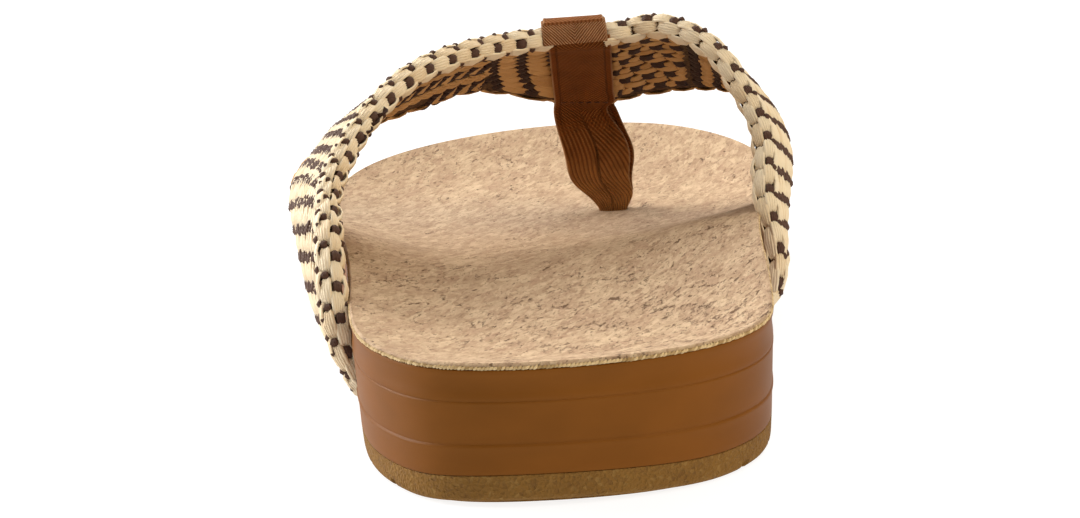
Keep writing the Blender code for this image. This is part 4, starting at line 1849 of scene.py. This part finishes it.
@dataclass
class WovenBand:
    """Band of ribbed raffia: cream floats crossed by dark courses, with a rolled back edge."""

    shape: BandShape
    spot_share: float = 0.38
    stripe_share: float = 0.21
    outer_ribs: int = 17
    under_slip: float = 2.6
    roll_ribs: tuple[RollRib, ...] = (
        RollRib(92.0, (-0.40, 0.60), (0.30, 0.0)), RollRib(146.0, (0.47, 0.62), (-0.20, 1.0)),
        RollRib(201.0, (0.0, 1.0), (0.30, 0.0)), RollRib(257.0, (0.5, 0.45), (-0.2, 0.0)))
    roll_width: float = 2.65
    stray_width: float = 1.0
    front_width: float = 1.6
    stray_ribs: tuple[RollRib, ...] = (RollRib(119.0, (0.10, 1.0), (0.12, 1.0)),)
    turn_course: float = 21.0
    float_height: float = 1.45
    sink: float = 0.72
    core_inset: float = 0.66
    face_share: float = 0.89
    edge_strands: Strands = Strands(5, 0.135, 0.200, 0.56, 1.05, 0.05, 0.20)
    inner_strands: Strands = Strands(4, 0.15, 0.25, 0.12, 0.62, 0.10, 0.05)
    outer_strands: Strands = Strands(3, 0.19, 0.33, 0.05, 0.52, 0.10, 0.0)
    patches: tuple[Patch, ...] = (
        Patch(-2.0, 9.0, 10), Patch(9.0, 18.0, 5, 0.54, 0.035),
        Patch(18.0, 22.0, 11, bar_share=0.28, bend=4.5), Patch(22.0, 24.7, 12, 0.80),
        Patch(25.0, 40.0, 11))
    seed: int = 20

    def ribs(self) -> list[Rib]:
        """Ribs of the rolled edge, the front edge and the outer face.

        Returns:
            The ribs.
        """
        ribs = []
        for rolled, width, stray in ((self.roll_ribs, self.roll_width, False),
                                     (self.stray_ribs, self.stray_width, True)):
            ribs += [Rib(Spot(Side.ROLL, rib.angle), width, rib.outer_half, rib.inner_half, stray)
                     for rib in rolled]
        ribs += [Rib(Spot(Side.FRONT, angle), self.front_width, (0.1, 0.0), (0.1, 0.0))
                 for angle in (-52.0, 0.0, 52.0)]
        for number in range(self.outer_ribs):
            share = 0.95 - self.face_share * (number + 0.5) / self.outer_ribs
            half = (0.035 * (number * 5 % 3), 1.0)
            ribs.append(Rib(Spot(Side.OUTER, share), self.face_share / self.outer_ribs, half, half))
        return ribs

    def floats(self, rib: Rib) -> list[Float]:
        """Floats of one rib: a cream and a dark one for each course.

        Args:
            rib: the rib.

        Returns:
            The floats.
        """
        made = []
        for course in range(-4, int(self.shape.courses[-1]) + 4):
            shift, size = rib.inner_half if course >= self.turn_course else rib.outer_half
            base = course + shift
            if rib.stray:
                made.append(Float(base, base + 0.24, 0.0, 1.0, 1.25))
            elif rib.spot.side in (Side.ROLL, Side.FRONT):
                share = self.spot_share * size
                made.append(Float(base + 0.80 * share, base + 1.0 + 0.20 * share, 1.0))
                if share:
                    made.append(Float(base, base + share, 0.0, 0.40 + 0.26 * size,
                                      0.75 + 0.38 * size))
            else:
                share = self.stripe_share
                made.append(Float(base + share, base + 1.0, 1.0))
                made.append(Float(base, base + share, 0.0, 1.0, 1.20))
        return made

    def patch_floats(self, patch: Patch, number: int) -> list[Float]:
        """Floats of one rib of a patch of the inner face.

        Args:
            patch: the patch.
            number: the rib's number in it.

        Returns:
            The floats.
        """
        made = []
        if not patch.dash_step:
            for course in np.arange(patch.first, patch.last):
                made.append(Float(course, course + patch.bar_share, 0.0))
                made.append(Float(course + patch.bar_share, course + 1.0, 1.0))
            return made
        step = patch.dash_step
        first = patch.first + 0.25 * step * (number % 4) - step
        for start in np.arange(first, patch.last, step):
            turn = start + 0.70 * step
            if number % 2:
                made.append(Float(start, turn, 0.0, 1.12, 1.05))
                made.append(Float(turn - 0.2 * step, start + 1.2 * step, 1.0, 0.75, 1.0, 0.45))
            else:
                made.append(Float(start, start + step, 1.0, 0.80, 0.95))
        cut = [each._replace(start=max(each.start, patch.first), end=min(each.end, patch.last))
               for each in made]
        return [each for each in cut if each.end - each.start > 0.12]

    def lay(self, carrier: Carrier, floats: Sequence[Float], spot: Spot, width: float,
            rng: np.random.Generator, patch: Patch | None = None) -> None:
        """Put a row of floats on a carrier.

        Args:
            carrier: what takes the places.
            floats: the floats.
            spot: where the row lies on the section.
            width: rib's width in millimetres, or a share of the face's width.
            rng: source of small differences.
            patch: the patch of the inner face the row belongs to.
        """
        spans = np.array(floats)
        start, end = (self.shape.run_of_course(spans[:, column]) for column in (0, 1))
        part = {Side.OUTER: spot.value, Side.FRONT: 0.5 + spot.value / 160.0}.get(spot.side, 0.0)
        slip = self.shape.skew(start) * part
        if spot.side in (Side.INNER, Side.FRONT):
            slip = slip + self.under_slip * (1.0 - part)
        if patch:
            slip = slip + patch.bend * (spot.value ** 2 - 0.25)
        start, end = start + slip, end + slip
        keep = (start > 1.0) & (end < self.shape.run[-1] - 1.0) & (end - start > 0.3)
        if patch and patch.climb:
            share = spot.value - patch.climb * (spans[:, 0] - 0.5 * (patch.first + patch.last))
            keep &= (share > 0.03) & (share < 0.97)
            spot = Spot(spot.side, share[keep])
        start, end, spans = start[keep], end[keep], spans[keep]
        count = len(start)
        if not count:
            return
        wander = rng.normal(0.0, 0.13, count)
        start, end = start + wander, end + wander
        first = self.shape.point(self.shape.place_at(start), spot, -self.sink)[0]
        second = self.shape.point(self.shape.place_at(end), spot, -self.sink)[0]
        middle = self.shape.place_at(0.5 * (start + end))
        points, normal = self.shape.point(middle, spot, -self.sink)
        length = np.linalg.norm(second - first, axis=1) * 1.10 + 0.2
        widths = spans[:, 3] * width * rng.uniform(0.94, 1.06, count)
        if spot.side in (Side.INNER, Side.OUTER):
            widths = widths * self.shape.frames(middle)[1]
        height = self.float_height * spans[:, 4] * rng.uniform(0.92, 1.08, count)
        dye = spans[:, 2]
        shade = np.where(dye > 0.5, rng.uniform(0.45, 1.1, count), rng.uniform(0.3, 1.0, count))
        points = points + rng.normal(0.0, 0.05, (count, 3))
        run = unit(second - first)
        run = unit(run + np.cross(normal, run) * spans[:, 5:6])
        carrier.add(points, run, normal, np.column_stack([length, widths, height]), dye, shade)

    def build_core(self, finish: Material) -> Piece:
        """Backing that closes the gaps between the floats.

        Args:
            finish: the material.

        Returns:
            The backing.
        """
        places = np.linspace(0.0, self.shape.last, 190)
        rings = np.stack([self.shape.point(places, spot, -self.core_inset)[0]
                          for spot in self.shape.section(11, 11, 5)], 1)
        return make_piece("band_backing", *loft(rings), finish)

    def build(self, yarn: Material, shaded: Material, backing: Material) -> None:
        """Make the backing, then the floats of the edges and faces.

        Args:
            yarn: material of the edge and the outer face.
            shaded: material of the inner face and the front edge, a darker, warmer copy of the
                yarn: painted shade, with the cork's warm bounce light painted in.
            backing: material of the backing, whose dark colours are painted shade.
        """
        attach(self.build_core(backing), "strap", "strap")
        rng = np.random.default_rng(self.seed)
        edges, inner, outer = Carrier(), Carrier(), Carrier()
        for rib in self.ribs():
            # The front edge's floats go with the inner face, in the yarn whose darker colours are
            # painted shade.
            carrier = {Side.OUTER: outer, Side.FRONT: inner}.get(rib.spot.side, edges)
            self.lay(carrier, self.floats(rib), rib.spot, rib.width, rng)
        for patch in self.patches:
            spare = 2 if patch.climb else 0
            width = self.face_share / patch.ribs
            for number in range(-spare, patch.ribs + spare):
                spot = Spot(Side.INNER, 0.06 + width * (number + 0.5))
                self.lay(inner, self.patch_floats(patch, number), spot, width, rng, patch)
        for name, carrier, finish, strands in (
                ("band_edge_floats", edges, yarn, self.edge_strands),
                ("band_inner_floats", inner, shaded, self.inner_strands),
                ("band_outer_floats", outer, yarn, self.outer_strands)):
            tree = BundleTree(name, finish, strands.count, strands.radius, strands.spread,
                              strands.pinch, strands.rise, strands.stagger, strands.bow,
                              seed=self.seed)
            attach(tree.lay(name, carrier), "strap")


# ---- the toe tape

class TapeFrame(NamedTuple):
    """A cross line of the tape: its middle, the direction across, the way out, its width."""

    centre: Array
    wide: Array
    deep: Array
    width: float


@dataclass
class ToeTape:
    """Cotton tape that runs up from the footbed, round the band, and down again.

    The ply towards the toes comes up first and goes over the band; a short wide ply rounds
    the rolled edge; the ply towards the heel lies on the band's inner face and hangs down.
    """

    band: BandShape
    across: float = 4.1
    wrap_shift: float = 0.045
    flap_shift: float = 0.135
    wide: float = 13.6
    flap: float = 13.1
    ply: float = 0.50
    selvedge: float = 0.08
    gap: float = 0.10
    slack: float = 2.2
    face_steps: int = 16
    round_steps: int = 5
    fineness: float = 0.7

    def middle_place(self) -> float:
        """Place of the tape's middle line along the band.

        Returns:
            The place, in rows.
        """
        rows = self.band.table(self.band.fine)
        middle = 0.5 * (rows[:, 0] + rows[:, 3])
        window = (self.band.fine > 8.0) & (self.band.fine < 14.0)
        return float(np.interp(self.across, middle[window], self.band.fine[window]))

    def on_band(self, spot: Spot, swell: float, width: float, shift: float) -> TapeFrame:
        """Cross line on the band at a spot of its section.

        Args:
            spot: where on the section.
            swell: distance outside the band.
            width: the tape's width.
            shift: how far along the band, in rows.

        Returns:
            The cross line.
        """
        place = self.middle_place() + shift
        points, normals = self.band.point(np.array([place - 0.05, place, place + 0.05]), spot,
                                          swell + 0.5 * self.ply)
        return TapeFrame(points[1], unit(points[2] - points[0]), normals[1], width)

    def on_stem(self, side: float) -> list[TapeFrame]:
        """Cross lines of one ply of the stem, from the top.

        The two plies part sideways at the top, where each keeps one edge of the stem.

        Args:
            side: 1 towards the toes, -1 towards the heel.

        Returns:
            The cross lines.
        """
        frames = []
        for number, row in enumerate(STEM):
            turn = math.radians(row.turn)
            wide = np.array((math.cos(turn), math.sin(turn), 0.0))
            deep = np.array((-math.sin(turn), math.cos(turn), 0.0))
            slack = self.slack * max(0.0, 1.0 - number / 4.0)
            centre = np.array(row[:3]) + side * (wide * 0.5 * slack + deep * 0.27 * row.thickness)
            frames.append(TapeFrame(centre, wide, deep * side, row.width - slack))
        return frames

    def profile(self, half: float) -> tuple[Array, Array]:
        """Section of a ply, rounded at both selvedges.

        Args:
            half: half of the width.

        Returns:
            Places across, and heights.
        """
        radius = 0.5 * self.ply
        across, height = [], []
        for u in np.linspace(-half + radius, half - radius, self.face_steps):
            across.append(u)
            height.append(radius + self.selvedge * math.exp(-((half - abs(u)) / 0.8) ** 2))
        for turn in np.linspace(60.0, -60.0, self.round_steps):
            across.append(half - radius + radius * math.cos(math.radians(turn)))
            height.append(radius * math.sin(math.radians(turn)))
        for u in np.linspace(half - radius, -half + radius, 6):
            across.append(u)
            height.append(-radius)
        for turn in np.linspace(-120.0, -240.0, self.round_steps):
            across.append(-half + radius + radius * math.cos(math.radians(turn)))
            height.append(radius * math.sin(math.radians(turn)))
        return np.array(across), np.array(height)

    def ribbon(self, name: str, frames: Sequence[TapeFrame], finish: Material,
               end_bulge: float = 0.0) -> Piece:
        """One ply along its cross lines.

        Args:
            name: the piece's name.
            frames: cross lines, in order.
            finish: the material.
            end_bulge: extra thickness of the hem at the last cross line.

        Returns:
            The piece, mapped in millimetres.
        """
        knots = travelled(np.array([frame.centre for frame in frames]))
        rows = [np.concatenate([f.centre, f.wide, f.deep, [f.width]]) for f in frames]
        curve = Spline(knots, rows)
        run = np.linspace(0.0, knots[-1], int(knots[-1] / self.fineness) + 2)
        rings, uv = [], []
        for at, row in zip(run, curve(run)):
            across, height = self.profile(0.5 * row[9])
            hem = 1.0 + end_bulge * math.exp(-((knots[-1] - at) / 0.7) ** 2)
            wide, deep = unit(row[3:6]), unit(row[6:9])
            rings.append(row[:3] + wide * across[:, None] + deep * (height * hem)[:, None])
            uv.append(np.column_stack([across * 13.0 / row[9], np.full(len(across), at)]))
        points, faces = loft(np.array(rings))
        return make_piece(name, points, faces, finish, uv=np.concatenate(uv), sharp=60.0)

    def stitches(self, frames: Sequence[TapeFrame], finish: Material) -> Piece:
        """Rows of stitches across the ply towards the heel.

        Args:
            frames: cross lines to sew along.
            finish: the material.

        Returns:
            The piece.
        """
        rng = np.random.default_rng(5)
        carrier = Carrier()
        for frame in frames:
            for u in np.linspace(-0.34, 0.34, 6):
                at = frame.centre + frame.wide * (u * frame.width) + frame.deep * 0.5 * self.ply
                carrier.add(at[None], frame.wide[None], frame.deep[None],
                            np.array([[0.95, 0.42, 0.36]]), np.ones(1), rng.uniform(0.3, 1.0, 1))
        tree = BundleTree("tape stitches", finish, strands=1, radius=0.42, spread=0.0, pinch=0.0,
                          rise=0.8, jitter=0.12, steps=6, seed=9)
        return tree.lay("tape_stitches", carrier)

    def build(self, cloth: Material, worn_and_highlight: Material, folded: Material, thread: Material) -> None:
        """Make the plies, the hem and the stitches.

        Args:
            cloth: material of the long plies.
            worn_and_highlight: material of the wrap.
            folded: material of the hem, lighter than the tape for wear and a painted highlight.
            thread: material of the stitches.
        """
        low, mid, high = (self.gap + share * self.ply for share in (0.0, 0.95, 1.9))
        spots = [Spot(Side.ROLL, angle) for angle in (205.0, 235.0, 265.0)]
        spots += [Spot(Side.INNER, share) for share in (0.12, 0.25, 0.4, 0.55, 0.7, 0.82, 0.92)]
        flap = [self.on_band(spot, low, self.flap, self.flap_shift) for spot in spots]
        attach(self.ribbon("tape_ply_heel", flap + self.on_stem(-1.0), cloth),
               "toe_post", "toe_post")
        spots = [Spot(Side.FRONT, angle) for angle in (-20.0, 20.0, 70.0)]
        over = [self.on_band(spot, low, self.flap, self.flap_shift) for spot in spots]
        spots = [Spot(Side.OUTER, share) for share in (0.9, 0.7, 0.5, 0.3, 0.15)]
        over += [self.on_band(spot, low, self.flap + (self.wide - self.flap) * (1.0 - spot.value),
                              self.wrap_shift) for spot in spots]
        attach(self.ribbon("tape_ply_toe", self.on_stem(1.0)[::-1] + over, cloth), "toe_post")
        wrap = [self.on_band(Spot(Side.ROLL, angle), mid, self.wide, self.wrap_shift)
                for angle in (88.0, 110.0, 132.0, 154.0, 176.0, 198.0, 214.0, 228.0)]
        attach(self.ribbon("tape_wrap", wrap, worn_and_highlight, 0.4), "toe_post")
        hem = [self.on_band(spot, high, self.wide - 0.9, self.wrap_shift)
               for spot in (Spot(Side.OUTER, 0.3), Spot(Side.OUTER, 0.2), Spot(Side.OUTER, 0.1))]
        hem += [self.on_band(Spot(Side.ROLL, angle), high, self.wide - 0.9, self.wrap_shift)
                for angle in (82.0, 100.0, 118.0, 136.0, 154.0)]
        attach(self.ribbon("tape_hem", hem, folded, 0.7), "toe_post")
        attach(self.stitches(flap[-1:], thread), "toe_post")


# ---- the studio

class Softbox(NamedTuple):
    """Square light over the sandal: its place, the height it looks at, size, power, colour."""

    name: str
    place: tuple[float, float, float]
    target_up: float
    size: float
    power: float
    colour: Colour


WHITE = (1.0, 0.985, 0.96)
SOFTBOXES = (
    Softbox("left key softbox", (-1.5, 2.1, 1.9), 0.0, 2.3, 69.0, WHITE),
    Softbox("right key softbox", (1.1, 2.3, 1.9), 0.0, 2.3, 45.0, WHITE),
    Softbox("top softbox", (0.5, -0.9, 2.6), 0.0, 2.2, 24.0, WHITE),
    Softbox("left softbox", (-1.05, 0.40, 0.40), 0.02, 0.7, 15.0, (1.0, 0.98, 0.95)),
    Softbox("right softbox", (1.3, -0.7, 0.9), 0.02, 0.7, 10.0, (1.0, 0.82, 0.52)),
)


@dataclass
class Studio:
    """Pale floor, soft light, and a camera behind the heel and a little above."""

    eye: tuple[float, float, float] = (-0.00022, -0.52764, 0.11630)
    aim: tuple[float, float, float] = (-0.00354, 0.0, 0.013977)
    roll: float = -2.977
    lens: float = 90.233
    sensor: float = 36.0
    floor_half: float = 6.0
    floor_level: float = -0.0001
    sky_strength: float = 0.14

    def build_camera(self) -> None:
        """Make the camera and point it."""
        data = bpy.data.cameras.new("camera")
        data.lens = self.lens
        data.sensor_width = self.sensor
        data.sensor_fit = "HORIZONTAL"
        data.clip_start = 0.01
        camera = bpy.data.objects.new("camera", data)
        eye, aim = Vector(self.eye), Vector(self.aim)
        ahead = (aim - eye).normalized()
        level = ahead.cross(Vector((0.0, 0.0, 1.0))).normalized()
        upright = level.cross(ahead)
        turn = math.radians(self.roll)
        right = level * math.cos(turn) + upright * math.sin(turn)
        up = right.cross(ahead)
        camera.matrix_world = Matrix((
            (right.x, up.x, -ahead.x, eye.x), (right.y, up.y, -ahead.y, eye.y),
            (right.z, up.z, -ahead.z, eye.z), (0.0, 0.0, 0.0, 1.0)))
        bpy.context.scene.collection.objects.link(camera)
        bpy.context.scene.camera = camera

    def softbox(self, lamp: Softbox) -> None:
        """Square area light that looks at its target.

        Args:
            lamp: the light's sizes.
        """
        data = bpy.data.lights.new(lamp.name, "AREA")
        data.shape = "SQUARE"
        data.size = lamp.size
        data.energy = lamp.power
        data.color = lamp.colour
        light = bpy.data.objects.new(lamp.name, data)
        light.location = lamp.place
        aim = Vector((0.0, 0.0, lamp.target_up)) - Vector(lamp.place)
        light.rotation_euler = aim.to_track_quat("-Z", "Y").to_euler()
        bpy.context.scene.collection.objects.link(light)

    def build(self) -> None:
        """Make the floor, the lights, the sky and the camera."""
        half, low = self.floor_half, self.floor_level
        mesh = bpy.data.meshes.new("floor")
        mesh.from_pydata([(-half, -half, low), (half, -half, low), (half, half, low),
                          (-half, half, low)], [], [(0, 1, 2, 3)])
        mesh.materials.append(FloorFinish().build())
        floor = bpy.data.objects.new("floor", mesh)
        bpy.context.scene.collection.objects.link(floor)
        for lamp in SOFTBOXES:
            self.softbox(lamp)
        world = bpy.data.worlds.new("studio")
        world.use_nodes = True
        sky = world.node_tree.nodes["Background"]
        sky.inputs["Color"].default_value = (1.0, 1.0, 1.0, 1.0)
        sky.inputs["Strength"].default_value = self.sky_strength
        bpy.context.scene.world = world
        bpy.context.scene.view_settings.view_transform = "Standard"
        self.build_camera()


def main() -> None:
    """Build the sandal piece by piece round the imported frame."""
    logging.basicConfig(level=logging.INFO, format="%(name)s: %(message)s")
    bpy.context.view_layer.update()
    sole, band = SoleShape(), BandShape()
    Outsole(sole).build(CrumbFinish().build())
    Midsole(sole, band).build(SidewallFinish().build())
    binding = ThreadFinish("binding thread", (0.80, 0.60, 0.32), (0.42, 0.26, 0.10))
    Footbed(sole).build(CorkFinish().build(), binding.build())
    # The inner face's yarn is the raffia made darker and warmer: painted shade under the band, with
    # warm light bounced from the cork painted in.
    shaded = RaffiaFinish("shaded raffia yarn", cream=(0.61, 0.350, 0.138),
                          straw=(0.45, 0.228, 0.072), brown=(0.065, 0.027, 0.015),
                          umber=(0.022, 0.008, 0.005))
    WovenBand(band).build(RaffiaFinish("raffia yarn").build(), shaded.build(),
                          CoreFinish().build())
    # The wrap and the hem are lighter copies of the tape: wear, and a painted highlight on the top
    # of the rolled edge.
    worn_and_highlight = TapeFinish("worn tape", brown=(0.36, 0.138, 0.050), worn_and_highlight=(0.68, 0.38, 0.21),
                      wear_and_highlight=0.9, pitch=0.62, selvedge=20.0)
    folded = TapeFinish("folded tape", brown=(0.34, 0.125, 0.042), worn_and_highlight=(0.64, 0.35, 0.18),
                        wear_and_highlight=0.7, selvedge=-1.0)
    stitching = ThreadFinish("tape thread", (0.150, 0.048, 0.012), (0.070, 0.020, 0.006))
    ToeTape(band).build(TapeFinish("herringbone tape").build(), worn_and_highlight.build(), folded.build(),
                        stitching.build())
    Studio().build()


for leftover in list(bpy.data.objects):
    bpy.data.objects.remove(leftover, do_unlink=True)
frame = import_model()

if __name__ == "__main__":
    main()
